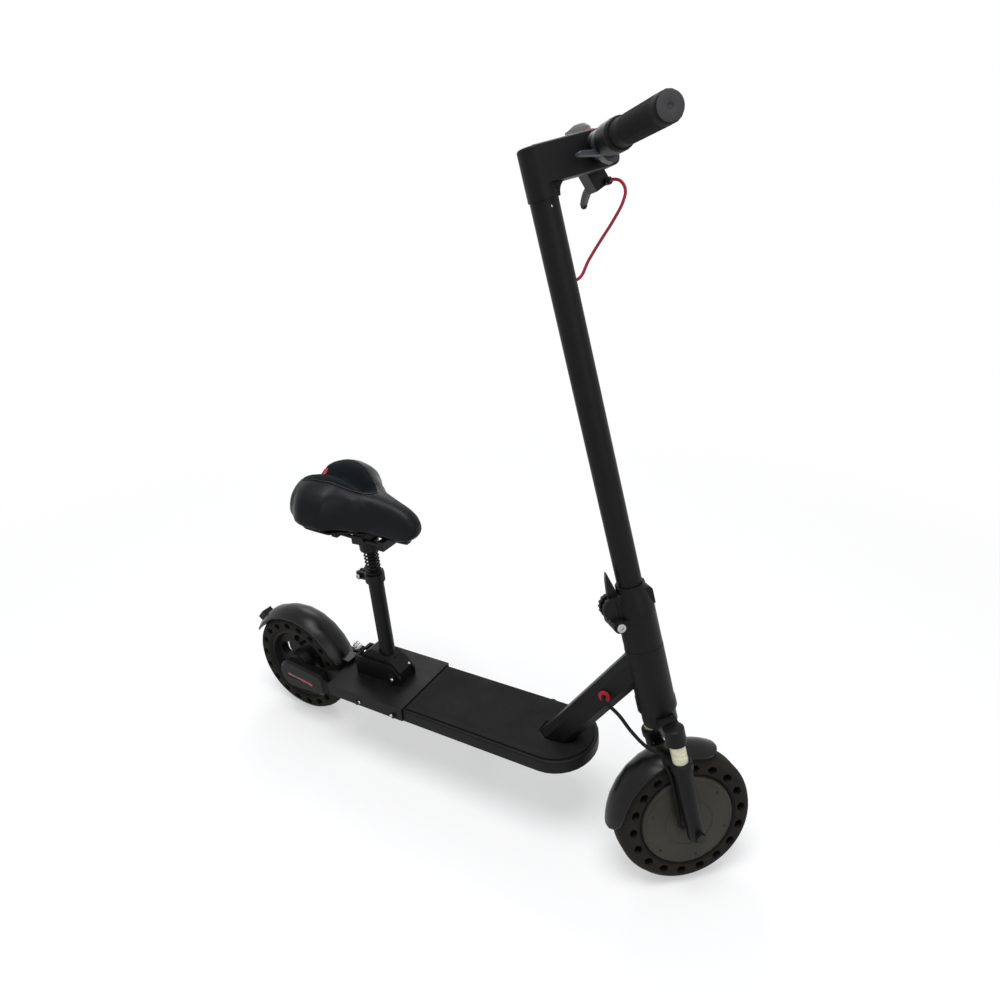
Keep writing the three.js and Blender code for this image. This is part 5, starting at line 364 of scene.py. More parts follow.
def mixed(tree, factor, *colours):
    """A colour between two, each a colour or a socket"""
    first, second = (
        colour if isinstance(colour, bpy.types.NodeSocket) else (*colour, 1.0) for colour in colours
    )
    values = {"Factor": factor, 6: first, 7: second}
    return add_node(tree, "ShaderNodeMix", values, data_type="RGBA").outputs[2]


def shade(colour, factor):
    return tuple(min(1.0, channel * factor) for channel in colour)


DUST_COLOUR = (0.060, 0.055, 0.048)
WORN_LIGHTER = 4.0
COAT_ROUGHNESS = 0.08
SHEEN_ROUGHNESS = 0.5
# Each finish by its slot in the record, and a few for the scene's own pieces: its name, colour setting, least
# and most roughness, node group with its inputs, height of the relief in metres, and what else sets it apart
FINISH_ROWS = {
    "paint": ("Powder coat", "paint", (0.40, 0.54), "Grain", {"Scale": 1500.0}, 0.00003,
              {"specular": 0.14, "wear": 0.0012, "dust": 0.05}),
    "dark_plastic": ("Satin moulding", "plastic", (0.38, 0.52), "Grain", {"Scale": 1100.0}, 0.00004,
                     {"specular": 0.16, "wear": 0.0008}),
    "gloss_fender": ("Fender moulding", "fender", (0.22, 0.32), "Grain", {"Scale": 500.0}, 0.00001,
                     {"specular": 0.20, "dust": 0.06}),
    "tread_rubber": ("Solid tyre", "tyre", (0.75, 0.9), "Grain", {"Scale": 700.0}, 0.00010,
                     {"specular": 0.14, "dust": 0.22, "contrast": (0.7, 1.5)}),
    "rubber": ("Soft rubber", "rubber", (0.62, 0.8), "Grain", {"Scale": 1600.0}, 0.00006,
               {"specular": 0.14, "dust": 0.04}),
    # Painted light: the grips' own rubber, made lighter for the light that falls on the grips' ends
    "grip_cap": ("Grip end", "grip_cap", (0.6, 0.75), "Grain", {"Scale": 1600.0}, 0.00004, {"specular": 0.2}),
    "red_rubber": ("Red sheath", "red", (0.45, 0.6), "Weave", {"Scale": 2600.0}, 0.00012,
                   {"specular": 0.3, "contrast": (0.55, 1.1)}),
    "steel": ("Turned steel", "steel", (0.24, 0.42), "Brushed", {}, 0.00002,
              {"metal": 1.0, "contrast": (0.75, 1.15)}),
    "bell": ("Plated bell", "bell", (0.10, 0.18), "Brushed", {"Scale": 30.0}, 0.00001,
             {"metal": 1.0, "contrast": (0.8, 1.1)}),
    "dark_steel": ("Blackened steel", "dark_steel", (0.35, 0.5), "Brushed", {}, 0.00002,
                   {"metal": 1.0, "contrast": (0.75, 1.2)}),
    "cream_stanchion": ("Stanchion enamel", "stanchion", (0.22, 0.34), "Brushed", {"Stretch": 4.0}, 0.00001,
                        {"specular": 0.4, "contrast": (0.86, 1.05)}),
    "red_cover": ("Saddle insert", "insert", (0.45, 0.6), "Weave", {"Scale": 1500.0}, 0.00012,
                  {"specular": 0.3, "contrast": (0.55, 1.1)}),
    "leather": ("Saddle cover", "leather", (0.32, 0.44), "Hide", {"Scale": 620.0}, 0.00005,
                {"specular": 0.15}),
    "fabric": ("Saddle weave", "fabric", (0.75, 0.9), "Weave", {"Scale": 1500.0}, 0.0003,
               {"specular": 0.11, "sheen": 0.01, "contrast": (0.5, 1.6)}),
    "dark_glass": ("Dark glass", "display", (0.06, 0.1), "Grain", {"Scale": 60.0}, 0.0, {"specular": 0.4}),
    "clear_glass": ("Lamp glass", "lamp_glass", (0.05, 0.1), "Weave", {"Scale": 900.0}, 0.0002,
                    {"coat": 0.8, "contrast": (0.6, 1.2)}),
    "light_grey": ("Lever moulding", "lever", (0.40, 0.5), "Grain", {"Scale": 1200.0}, 0.00003,
                   {"specular": 0.3, "contrast": (0.9, 1.08)}),
    "red_lens": ("Red lens", "lens", (0.10, 0.2), "Weave", {"Scale": 1800.0}, 0.0002,
                 {"coat": 0.5, "contrast": (0.7, 1.2)}),
    "hub": ("Hub cover", "hub", (0.45, 0.62), "Grain", {"Scale": 800.0}, 0.00004,
            {"specular": 0.16, "dust": 0.06}),
    "mark": ("Printed mark", "mark", (0.4, 0.5), "Grain", {"Scale": 900.0}, 0.0,
             {"specular": 0.3, "contrast": (0.9, 1.1)}),
}


def finish(
    name, colour, rough, pattern, inputs, bump, worn,
    metal=0.0, specular=0.5, contrast=(0.8, 1.25), wear=0.0, dust=0.0, coat=0.0, sheen=0.0,
):
    """A Principled finish: tone and grain from one group, then dust and rubbed edges on top"""
    material = bpy.data.materials.new(name)
    material.use_nodes = True
    material.diffuse_color = (*colour, 1.0)
    tree = material.node_tree
    grain = use_group(tree, pattern, inputs)
    base = mixed(tree, grain["Tone"], *(shade(colour, share) for share in contrast))
    roughness = mapped(tree, grain["Tone"], 0.0, 1.0, *rough)
    if dust:
        settled = use_group(tree, "Dust", {"Amount": dust})["Mask"]
        base = mixed(tree, settled, base, DUST_COLOUR)
        roughness = math_node(tree, "ADD", roughness, settled)
    if wear:
        base = mixed(tree, use_group(tree, "Edge wear", {"Width": wear})["Mask"], base, worn)
    relief = add_node(tree, "ShaderNodeBump", {"Height": grain["Height"], "Strength": 1.0, "Distance": bump})
    values = {
        "Base Color": base,
        "Roughness": roughness,
        "Normal": relief.outputs["Normal"],
        "Metallic": metal,
        "Specular IOR Level": specular,
        "Coat Weight": coat,
        "Coat Roughness": COAT_ROUGHNESS,
        "Sheen Weight": sheen,
        "Sheen Roughness": SHEEN_ROUGHNESS,
    }
    for key, value in values.items():
        put(tree, tree.nodes["Principled BSDF"].inputs[key], value)
    return material


FINISHES = {}

# Pieces made in mesh code

TRIM_SHARP = math.radians(40.0)
FULL_TURN = 2 * math.pi
# Lines that look for a piece's face start this far in front of it, and those for a side face this far from
# the middle plane
CLEAR = 0.1
CLEAR_SIDE = 0.2
# Sides of tubes, from ribs and threads to beading, and of turned shapes
RIB_SIDES, THREAD_SIDES, PIPING_SIDES, BEAD_SIDES = 4, 6, 8, 10
FERRULE_SIDES, LENS_SIDES, CAP_SIDES = 24, 32, 36


def new_object(name, data):
    created = bpy.data.objects.new(name, data)
    bpy.context.scene.collection.objects.link(created)
    return created


def evaluated_mesh(piece):
    graph = bpy.context.evaluated_depsgraph_get()
    return bpy.data.meshes.new_from_object(piece.evaluated_get(graph))


def swap_mesh(piece, mesh):
    old = piece.data
    piece.modifiers.clear()
    piece.data = mesh
    bpy.data.meshes.remove(old)


def bake(piece, kind, **settings):
    """Puts a modifier on a piece and keeps its result as the mesh"""
    modifier = piece.modifiers.new(kind, kind)
    for key, value in settings.items():
        setattr(modifier, key, value)
    swap_mesh(piece, evaluated_mesh(piece))


def smooth_shade(mesh, sharp):
    mesh.polygons.foreach_set("use_smooth", [True] * len(mesh.polygons))
    mesh.set_sharp_from_angle(angle=sharp)


def spoke(side, front, angle):
    return side * math.cos(angle) + front * math.sin(angle)


def spokes(side, front, count, skip=0.0):
    """Directions round a circle, from side towards front"""
    return [spoke(side, front, FULL_TURN * (k + skip) / count) for k in range(count)]


def scaled(profile, size):
    return [(across * size, up * size) for across, up in profile]


class Builder:
    """Collects the points and faces of one piece"""

    def __init__(self):
        self.points = []
        self.faces = []

    def loft(self, rings, closed=False):
        """A skin through rings of points, with both ends capped unless it closes on itself"""
        numbered = []
        for ring in rings:
            start = len(self.points)
            self.points.extend(ring)
            numbered.append(list(range(start, len(self.points))))
        followers = numbered[1:] + (numbered[:1] if closed else [])
        for first, second in zip(numbered, followers):
            self.faces.extend(zip(first, first[1:] + first[:1], second[1:] + second[:1], second))
        if not closed:
            self.faces.extend((tuple(numbered[0]), tuple(numbered[-1])))

    def tube(self, path, radius, sides, closed=False, squash=1.0, up=None):
        """A tube along points. Its section is squashed along up where up is given."""
        count = len(path)
        rings = []
        normal = None
        for i, point in enumerate(path):
            before = path[(i - 1) % count] if closed or i else point
            after = path[(i + 1) % count] if closed or i + 1 < count else point
            tangent = (after - before).normalized()
            if up is None and normal is None:
                normal = tangent.orthogonal().normalized()
            else:
                guide = normal if up is None else up
                normal = (guide - tangent * guide.dot(tangent)).normalized()
            around = spokes(tangent.cross(normal), normal * squash, sides)
            rings.append([point + direction * radius for direction in around])
        self.loft(rings, closed)

    def turned(self, centre, axis, profile, sides, wobble=None, side=None, stretch=1.0):
        """A turned shape: profile is a list of (radius, height) along the axis. Stretch makes it oval."""
        side = side or axis.orthogonal().normalized()
        around = spokes(side, axis.cross(side) * stretch, sides)
        rings = []
        for index, (radius, height) in enumerate(profile):
            foot = centre + axis * height
            shares = [wobble(FULL_TURN * k / sides, index) if wobble else 1.0 for k in range(sides)]
            rings.append([foot + direction * (radius * share) for direction, share in zip(around, shares)])
        self.loft(rings)

    def make(self, name, finish_name, body, slot):
        """The piece as a mesh object, riding on its body where one is given"""
        mesh = bpy.data.meshes.new(name)
        mesh.from_pydata([tuple(point) for point in self.points], [], self.faces)
        mesh.validate()
        tidy = bmesh.new()
        tidy.from_mesh(mesh)
        bmesh.ops.recalc_face_normals(tidy, faces=tidy.faces)
        tidy.to_mesh(mesh)
        tidy.free()
        smooth_shade(mesh, TRIM_SHARP)
        mesh.materials.append(FINISHES[finish_name])
        piece = new_object(name, mesh)
        if body:
            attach(piece, body)
        return piece


def make_turned(name, finish_name, body, slot, *shape, **oval):
    builder = Builder()
    builder.turned(*shape, **oval)
    builder.make(name, finish_name, body, slot)


SCREW_SIDES = 24
# A screw head's outline as shares of its radius: out and up. The last three steps are its hexagon socket.
SCREW_PROFILE = (
    (1.0, -0.1), (1.0, 0.1375), (0.86, 0.429), (0.6, 0.55), (0.5152, 0.55), (0.46, 0.495), (0.46, 0.1375)
)
SOCKET_START = 4
SIXTH = FULL_TURN / 6


def hex_reach(angle, index):
    """1 on a round ring, and the reach of a hexagon on the socket's rings"""
    if index < SOCKET_START:
        return 1.0
    return math.cos(SIXTH / 2) / math.cos(angle % SIXTH - SIXTH / 2)


def screw(builder, place, axis, radius):
    """A domed screw head with a hexagon socket"""
    builder.turned(place, axis.normalized(), scaled(SCREW_PROFILE, radius), SCREW_SIDES, hex_reach)


def tree_of(*names):
    """A search tree of CAD nodes or of the scene's own objects"""
    points = []
    faces = []
    for name in names:
        mesh = (NODES.get(name) or bpy.data.objects[name]).data
        start = len(points)
        points.extend(vertex.co.copy() for vertex in mesh.vertices)
        faces.extend(tuple(start + i for i in polygon.vertices) for polygon in mesh.polygons)
    return BVHTree.FromPolygons(points, faces)


def seat(tree, start, direction):
    """Where a line from start first meets a surface, and the surface's normal towards the start"""
    place, normal, _, _ = tree.ray_cast(start, direction.normalized())
    if place is None:
        return None
    return place, -normal if normal.dot(direction) > 0 else normal


def landed(tree, lines):
    """Where lines, each a start and a direction, first meet a surface. A line that misses it is left out."""
    return [hit for hit in (seat(tree, start, direction) for start, direction in lines) if hit]


def middle_of(node):
    low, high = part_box(node)
    return (Vector(low) + Vector(high)) / 2


def axis_of(name):
    """Middle, direction and half length of a long node"""
    points = np.array([vertex.co for vertex in NODES[name].data.vertices])
    middle = points.mean(0)
    _, _, directions = np.linalg.svd(points - middle, full_matrices=False)
    along = Vector(directions[0]).normalized()
    shares = (points - middle) @ np.array(along)
    low, high = float(shares.min()), float(shares.max())
    return Vector(middle) + along * ((high + low) / 2), along, (high - low) / 2


def smooth_path(points, steps, closed=False):
    """A Catmull-Rom curve through points"""
    count = len(points)
    result = []
    for i in range(count if closed else count - 1):
        near = range(i - 1, i + 3)
        a, b, c, d = (points[j % count] if closed else points[min(max(j, 0), count - 1)] for j in near)
        for step in range(steps):
            t = step / steps
            bend = (2 * a - 5 * b + 4 * c - d) * t * t + (3 * b - a - 3 * c + d) * t ** 3
            result.append((2 * b + (c - a) * t + bend) / 2)
    if not closed:
        result.append(points[-1].copy())
    return result


# Saddle

PAD_NAME = "saddle_pad"
HELD_NORMAL = -0.45
SWELL_FRAMES = 20
# Outline of the woven panel as shares of the cushion's length from the tail and of its half width
PANEL_SHARES = (
    (0.055, 0.15), (0.050, 0.34), (0.110, 0.46), (0.240, 0.48), (0.380, 0.40), (0.500, 0.27), (0.585, 0.13),
    (0.625, 0.0),
)
OUTLINE_STEPS = 10
# Where the red insert ends, in the same shares
INSERT_SHARES = (0.105, 0.19)
COVER_FINISHES = ("leather", "fabric", "red_cover")
SMOOTH_PANEL, WOVEN_PANEL, RED_PANEL = range(3)
PANEL_NORMAL = -0.2
# The seam and its stitches as shares of the piping's radius
SEAM_REACH = 4.0
PIPING_LIFT = 0.35
STITCH_OUT = 2.6
STITCH_RADIUS = 0.28
# The points of one stitch: shares of its length along the seam, and how far they lie above the cover
STITCH_POINTS = ((-0.5, 0.15), (0.0, PIPING_LIFT), (0.5, 0.15))


def swell(piece, settings):
    """Blows the cover up a little with cloth, holds its underside, and caps how far a point moves"""
    start = [vertex.co.copy() for vertex in piece.data.vertices]
    held = piece.vertex_groups.new(name="held")
    underside = [vertex.index for vertex in piece.data.vertices if vertex.normal.z < HELD_NORMAL]
    held.add(underside, 1.0, "REPLACE")
    cloth = piece.modifiers.new("cover", "CLOTH")
    cloth.settings.vertex_group_mass = held.name
    cloth.settings.use_pressure = True
    cloth.settings.uniform_pressure_force = settings.pressure
    cloth.settings.effector_weights.gravity = 0
    cloth.point_cache.frame_start = 1
    cloth.point_cache.frame_end = SWELL_FRAMES
    scene = bpy.context.scene
    for number in range(1, SWELL_FRAMES + 1):
        scene.frame_set(number)
    mesh = evaluated_mesh(piece)
    for vertex, origin in zip(mesh.vertices, start):
        move = vertex.co - origin
        if move.length > settings.cap:
            vertex.co = origin + move.normalized() * settings.cap
    scene.frame_set(1)
    swap_mesh(piece, mesh)
    piece.vertex_groups.clear()


def cushion_size():
    """Where the cushion's tail is, its length and its half width"""
    low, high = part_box("saddle_cushion")
    return low.x, high.x - low.x, (high.y - low.y) / 2


def panel_outline():
    """The woven panel's edge seen from above, as closed points"""
    tail, length, half = cushion_size()
    right = [Vector((tail + length * along, -half * across, 0)) for along, across in PANEL_SHARES]
    left = [Vector((point.x, -point.y, 0)) for point in reversed(right[:-1])]
    return smooth_path(right + left, OUTLINE_STEPS, closed=True)


def inside_outline(outline, x, y):
    inside = False
    for before, point in zip(outline[-1:] + outline, outline):
        if (point.y > y) != (before.y > y):
            crossing = point.x + (y - point.y) / (before.y - point.y) * (before.x - point.x)
            inside ^= x < crossing
    return inside


class SCOOTER_OT_saddle(bpy.types.Operator):
    """Pads the saddle, divides its cover into smooth and woven panels and sews piping on the seams"""

    bl_idname = "scooter.saddle"
    bl_label = "Pad the saddle"

    def execute(self, context):
        settings = context.scene.scooter_saddle
        pad = new_object(PAD_NAME, NODES["saddle_cushion"].data.copy())
        bake(pad, "REMESH", mode="VOXEL", voxel_size=settings.voxel)
        bake(pad, "SMOOTH", iterations=6, factor=0.5)
        shrunk = [vertex.co - vertex.normal * settings.shrink for vertex in pad.data.vertices]
        for vertex, point in zip(pad.data.vertices, shrunk):
            vertex.co = point
        swell(pad, settings)
        bake(pad, "SMOOTH", iterations=2, factor=0.4)
        bake(pad, "SUBSURF", levels=1, render_levels=1)
        outline = panel_outline()
        self.press_seam(pad.data, outline, settings.piping)
        self.cover(pad.data, outline)
        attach(pad, "saddle")
        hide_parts("saddle_cushion")
        self.sew(outline, settings)
        return {"FINISHED"}

    def press_seam(self, mesh, outline, depth):
        """Draws the cover in along the seam"""
        reach = depth * SEAM_REACH
        seam = np.array([(point.x, point.y) for point in outline])
        for vertex in mesh.vertices:
            if vertex.normal.z < 0:
                continue
            gap = float(np.hypot(seam[:, 0] - vertex.co.x, seam[:, 1] - vertex.co.y).min())
            if gap < reach:
                vertex.co -= vertex.normal * depth * (1 - gap / reach) ** 2

    def cover(self, mesh, outline):
        """Gives each face the smooth, the woven or the red cover"""
        tail, length, half = cushion_size()
        red_end = tail + length * INSERT_SHARES[0]
        red_half = half * INSERT_SHARES[1]
        mesh.materials.clear()
        for name in COVER_FINISHES:
            mesh.materials.append(FINISHES[name])
        for polygon in mesh.polygons:
            polygon.use_smooth = True
            centre = polygon.center
            panel = SMOOTH_PANEL
            if polygon.normal.z > PANEL_NORMAL:
                if centre.x < red_end and abs(centre.y) < red_half:
                    panel = RED_PANEL
                elif inside_outline(outline, centre.x, centre.y):
                    panel = WOVEN_PANEL
            polygon.material_index = panel

    def sew(self, outline, settings):
        """Piping along the seam, and a row of stitches outside it"""
        tree = tree_of(PAD_NAME)
        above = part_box("saddle_cushion")[1].z + settings.cap * 4
        radius = settings.piping

        def on_cover(spots, lifts):
            hits = landed(tree, [(Vector((spot.x, spot.y, above)), -WORLD_UP) for spot in spots])
            return [place + normal * radius * lift for (place, normal), lift in zip(hits, lifts)]

        piping = Builder()
        piping.tube(on_cover(outline, [PIPING_LIFT] * len(outline)), radius, PIPING_SIDES, closed=True)
        piping.make("saddle_piping", "leather", "saddle", "leather")
        thread = Builder()
        middle = sum(outline, Vector()) / len(outline)
        shifts, lifts = zip(*STITCH_POINTS)
        travelled = 0.0
        for before, point in zip(outline, outline[1:] + outline[:1]):
            travelled += (point - before).length
            if travelled < settings.stitch_pitch:
                continue
            travelled = 0.0
            along = (point - before).normalized()
            outward = Vector((-along.y, along.x, 0))
            if outward.dot(point - middle) < 0:
                outward = -outward
            foot = point + outward * radius * STITCH_OUT
            ends = on_cover([foot + along * settings.stitch * shift for shift in shifts], lifts)
            if len(ends) == len(STITCH_POINTS):
                thread.tube(ends, radius * STITCH_RADIUS, THREAD_SIDES)
        thread.make("saddle_stitches", "leather", "saddle", "leather")


# Grips, mat, tyres and hub

# The cap on a grip's end as shares of the grip's radius: out and along
CAP_PROFILE = (
    (0.90, -0.045), (0.90, 0.027), (0.86, 0.045), (0.30, 0.036), (0.22, 0.009), (0.13, -0.0225),
    (0.12, -0.0405),
)
GRIP_END_SHARE = 0.9
GRIP_RINGS = 30
RING_START = -0.55
RING_SPAN = 1.3
RING_STEPS = 32
RING_SINK = 0.00025
RING_RADIUS = 0.0005


class SCOOTER_OT_grips(bpy.types.Operator):
    """Gives each grip its end cap and its moulded rings"""

    bl_idname = "scooter.grips"
    bl_label = "Finish the grips"

    def execute(self, context):
        bar_middle = (axis_of("grip_left")[0] + axis_of("grip_right")[0]) / 2
        for name in ("grip_left", "grip_right"):
            middle, along, half = axis_of(name)
            if along.dot(middle - bar_middle) < 0:
                along = -along
            points = [vertex.co - middle for vertex in NODES[name].data.vertices]
            near_end = [p for p in points if p.dot(along) > half * GRIP_END_SHARE]
            radius = max((p - along * p.dot(along)).length for p in near_end)
            end = middle + along * half
            profile = scaled(CAP_PROFILE, radius)
            # The cap gets the lighter, painted-light copy of the grips' rubber
            make_turned(f"{name}_cap", "grip_cap", "stem", "rubber", end, along, profile, CAP_SIDES)
            self.rings(name, middle, along, half)
        return {"FINISHED"}

    def rings(self, name, middle, along, half):
        rings = Builder()
        tree = tree_of(name)
        side = along.orthogonal().normalized()
        around = spokes(side, along.cross(side), RING_STEPS)
        for k in range(GRIP_RINGS):
            centre = middle + along * (half * (RING_START + RING_SPAN * k / (GRIP_RINGS - 1)))
            hits = landed(tree, [(centre + outward * CLEAR, -outward) for outward in around])
            if len(hits) == RING_STEPS:
                path = [place - outward * RING_SINK for (place, _), outward in zip(hits, around)]
                rings.tube(path, RING_RADIUS, RIB_SIDES, closed=True)
        rings.make(f"{name}_rings", "rubber", "stem", "rubber")


RIB_STEPS = 28
RIB_SQUASH = 0.6
MAT_LEVEL = 0.95
MAT_STEP = 0.001


class SCOOTER_OT_deck_mat(bpy.types.Operator):
    """Lays the fine ribs on the deck's rubber mat"""

    bl_idname = "scooter.deck_mat"
    bl_label = "Rib the deck mat"

    def execute(self, context):
        settings = context.scene.scooter_trim
        tree = tree_of("deck_mat")
        low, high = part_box("deck_mat")
        pitch = settings.mat_rib_pitch
        half = (high.y - low.y) / 2 - pitch * 2
        ribs = Builder()
        for k in range(int((high.x - low.x - pitch * 4) / pitch)):
            for run in self.runs(tree, low.x + pitch * (2 + k), half, high.z):
                if len(run) > 1:
                    ribs.tube(run, settings.mat_rib, RIB_SIDES, squash=RIB_SQUASH, up=DECK_UP)
        ribs.make("deck_mat_ribs", "rubber", "frame", "rubber")
        return {"FINISHED"}

    def runs(self, tree, x, half, top):
        """Points across the mat, broken where the mat has its opening or its rounded end"""
        level = None
        runs = [[]]
        for i in range(RIB_STEPS + 1):
            hit = seat(tree, Vector((x, -half + 2 * half * i / RIB_STEPS, top + CLEAR)), -WORLD_UP)
            even = hit and (level is None or abs(hit[0].z - level) < MAT_STEP)
            if even and hit[1].dot(DECK_UP) > MAT_LEVEL:
                level = hit[0].z
                runs[-1].append(hit[0])
            else:
                runs.append([])
        return [run[1:-1] if len(run) > 3 else run for run in runs[:-1]] + runs[-1:]


# How far across the tyre the points of a shoulder bar lie, as shares of TREAD_HALF, and how it slants
BAR_SHARES = (0.30, 0.48, 0.66, 0.84)
BAR_SLANT = 0.5
BAR_SINK = 0.6
TREAD_HALF = WHEEL_RADIUS * 0.21
TREAD_CLEAR = WHEEL_RADIUS * 1.3


class SCOOTER_OT_tyres(bpy.types.Operator):
    """Puts shoulder bars on both solid tyres"""

    bl_idname = "scooter.tyres"
    bl_label = "Cut the tyre treads"

    def execute(self, context):
        settings = context.scene.scooter_trim
        count, thick = settings.tread_count, settings.tread_bar
        for name, (body, hub, side, up) in WHEELS.items():
            tree = tree_of(f"{name}_shell")
            front = side.cross(up)
            bars = Builder()
            for k in range(count):
                for flank, offset in ((-1, 0.0), (1, 0.5)):
                    lines = []
                    for share in BAR_SHARES:
                        turn = (k + BAR_SLANT * (share - 0.5) + offset) / count
                        outward = spoke(up, front, FULL_TURN * turn)
                        across = side * flank * (TREAD_HALF * share)
                        lines.append((hub + outward * TREAD_CLEAR + across, -outward))
                    path = [place - normal * thick * BAR_SINK for place, normal in landed(tree, lines)]
                    if len(path) == len(BAR_SHARES):
                        bars.tube(path, thick, RIB_SIDES)
            bars.make(f"{name}_tread", "tread_rubber", body, "tread_rubber")
        return {"FINISHED"}


# The hub cover's screws and rings: how far out they lie, as shares of the wheel's radius
HUB_SCREWS_OUT = 0.58
HUB_RINGS_OUT = (0.36, 0.64)
HUB_SCREW_SHARE = 0.62
HUB_RING_STEPS = 64
HUB_RING_RADIUS = 0.0007


class SCOOTER_OT_hub(bpy.types.Operator):
    """Screws the hub motor's covers down and adds their turned rings"""

    bl_idname = "scooter.hub"
    bl_label = "Finish the hub motor"

    def execute(self, context):
        settings = context.scene.scooter_trim
        tree = tree_of("hub_motor")
        screws = Builder()
        rings = Builder()
        for across in (-STEER_SIDE, STEER_SIDE):
            for place in self.circle(tree, across, HUB_SCREWS_OUT, settings.hub_screws, 0.5):
                screw(screws, place, across, settings.screw * HUB_SCREW_SHARE)
            for share in HUB_RINGS_OUT:
                path = self.circle(tree, across, share, HUB_RING_STEPS)
                if len(path) == HUB_RING_STEPS:
                    rings.tube(path, HUB_RING_RADIUS, THREAD_SIDES, closed=True)
        screws.make("hub_screws", "dark_steel", "front_wheel", "steel")
        rings.make("hub_rings", "hub", "front_wheel", "dark_plastic")
        return {"FINISHED"}

    def circle(self, tree, across, share, count, skip=0.0):
        """Points in a circle on one of the hub's covers"""
        centre = FRONT_HUB + across * WHEEL_RADIUS
        around = spokes(STEER_FORWARD, STEER_UP, count, skip)
        lines = [(centre + outward * (WHEEL_RADIUS * share), -across) for outward in around]
        return [place for place, _ in landed(tree, lines)]


# Cables: the middle line of each, from where it leaves the object, in metres

BRAKE_LINE = (
    (0.5764, 0.0863, 1.0087), (0.5824, 0.0804, 1.0104), (0.5893, 0.0756, 1.0117),
    (0.5974, 0.0733, 1.0108), (0.6035, 0.0737, 1.0050), (0.6060, 0.0731, 0.9971),
    (0.6053, 0.0704, 0.9890), (0.6037, 0.0668, 0.9814), (0.6014, 0.0626, 0.9743),
    (0.5988, 0.0583, 0.9674), (0.5962, 0.0539, 0.9606), (0.5934, 0.0493, 0.9540),
    (0.5905, 0.0448, 0.9474), (0.5877, 0.0403, 0.9407), (0.5849, 0.0358, 0.9339),
    (0.5823, 0.0313, 0.9271), (0.5798, 0.0270, 0.9202), (0.5779, 0.0232, 0.9128),
    (0.5760, 0.0193, 0.9054), (0.5721, 0.0142, 0.9001), (0.5662, 0.0081, 0.8989),
)
UPPER_MOTOR_LINE = (
    (0.6550, -0.0130, 0.2984), (0.6550, -0.0201, 0.2984), (0.6547, -0.0272, 0.2985),
    (0.6592, -0.0317, 0.2971), (0.6656, -0.0341, 0.2952), (0.6721, -0.0360, 0.2931),
    (0.6786, -0.0377, 0.2908), (0.6850, -0.0393, 0.2880), (0.6908, -0.0406, 0.2842),
    (0.6960, -0.0414, 0.2794), (0.7009, -0.0418, 0.2743), (0.7061, -0.0421, 0.2694),
    (0.7116, -0.0423, 0.2649), (0.7171, -0.0425, 0.2604), (0.7228, -0.0425, 0.2562),
    (0.7288, -0.0425, 0.2523), (0.7352, -0.0425, 0.2493), (0.7422, -0.0426, 0.2480),
    (0.7493, -0.0425, 0.2474), (0.7563, -0.0425, 0.2462), (0.7590, -0.0425, 0.2401),
)
LOWER_MOTOR_LINE = (
    (0.7591, -0.0425, 0.2398), (0.7609, -0.0425, 0.2336), (0.7635, -0.0416, 0.2277),
    (0.7661, -0.0406, 0.2219), (0.7688, -0.0397, 0.2160), (0.7712, -0.0390, 0.2101),
    (0.7732, -0.0387, 0.2040), (0.7751, -0.0386, 0.1978), (0.7768, -0.0386, 0.1915),
    (0.7784, -0.0387, 0.1853), (0.7800, -0.0389, 0.1790), (0.7817, -0.0391, 0.1727),
    (0.7834, -0.0393, 0.1665), (0.7850, -0.0394, 0.1602), (0.7867, -0.0395, 0.1540),
    (0.7883, -0.0398, 0.1477), (0.7901, -0.0403, 0.1415), (0.7919, -0.0416, 0.1355),
    (0.7935, -0.0438, 0.1296), (0.7963, -0.0452, 0.1241), (0.8019, -0.0431, 0.1218),
)
CABLE_STEPS = 3
CABLE_SIDES = 14
# An oval grommet's outline: out and along, in metres
GROMMET_PROFILE = (
    (0.005, -0.001), (0.005, 0.0016), (0.0042, 0.0028), (0.0033, 0.0034), (0.003, 0.006), (0.0024, 0.0066)
)
GROMMET_STRETCH = 1.75


class SCOOTER_OT_cables(bpy.types.Operator):
    """Lays the brake cable and the motor's lead, with the grommet in the stem"""

    bl_idname = "scooter.cables"
    bl_label = "Lay the cables"

    def execute(self, context):
        settings = context.scene.scooter_trim
        brake = self.lay("brake_cable", BRAKE_LINE, settings.brake_cable, "red_rubber")
        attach(brake, "stem")
        upper = self.lay("motor_cable_upper", UPPER_MOTOR_LINE, settings.lead, "rubber")
        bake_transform(upper)
        lower = self.lay("motor_cable_lower", LOWER_MOTOR_LINE, settings.lead, "rubber")
        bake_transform(lower)
        self.stem_grommet()
        return {"FINISHED"}

    def length(self, line):
        return sum((Vector(b) - Vector(a)).length for a, b in zip(line, line[1:]))

    def lay(self, node, line, diameter, finish_name):
        tube = Builder()
        tube.tube(smooth_path([Vector(point) for point in line], CABLE_STEPS), diameter / 2, CABLE_SIDES)
        piece = tube.make(f"{node}_sheath", finish_name, None, None)
        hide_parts(node)
        return piece

    def stem_grommet(self):
        """An oval rubber grommet with a collar round the cable"""
        start = Vector(BRAKE_LINE[-1]) + STEER_FORWARD * CLEAR
        place, _ = seat(tree_of("stem_tube"), start, -STEER_FORWARD)
        make_turned("stem_grommet", "red_rubber", "stem", "red_rubber", place, STEER_FORWARD, GROMMET_PROFILE,
                    LENS_SIDES, side=STEER_SIDE, stretch=GROMMET_STRETCH)


# Screws on both sides: along the scooter and up, in metres
PLATE_SCREWS = ((0.2034, 0.1345), (0.2795, 0.1385))
COVER_SCREW = (0.078, 0.104)
BASE_SCREW = (0.2454, 0.1685)
STEM_SCREW_OUT = (STEER_FORWARD * 0.78 - STEER_SIDE * 0.6).normalized()
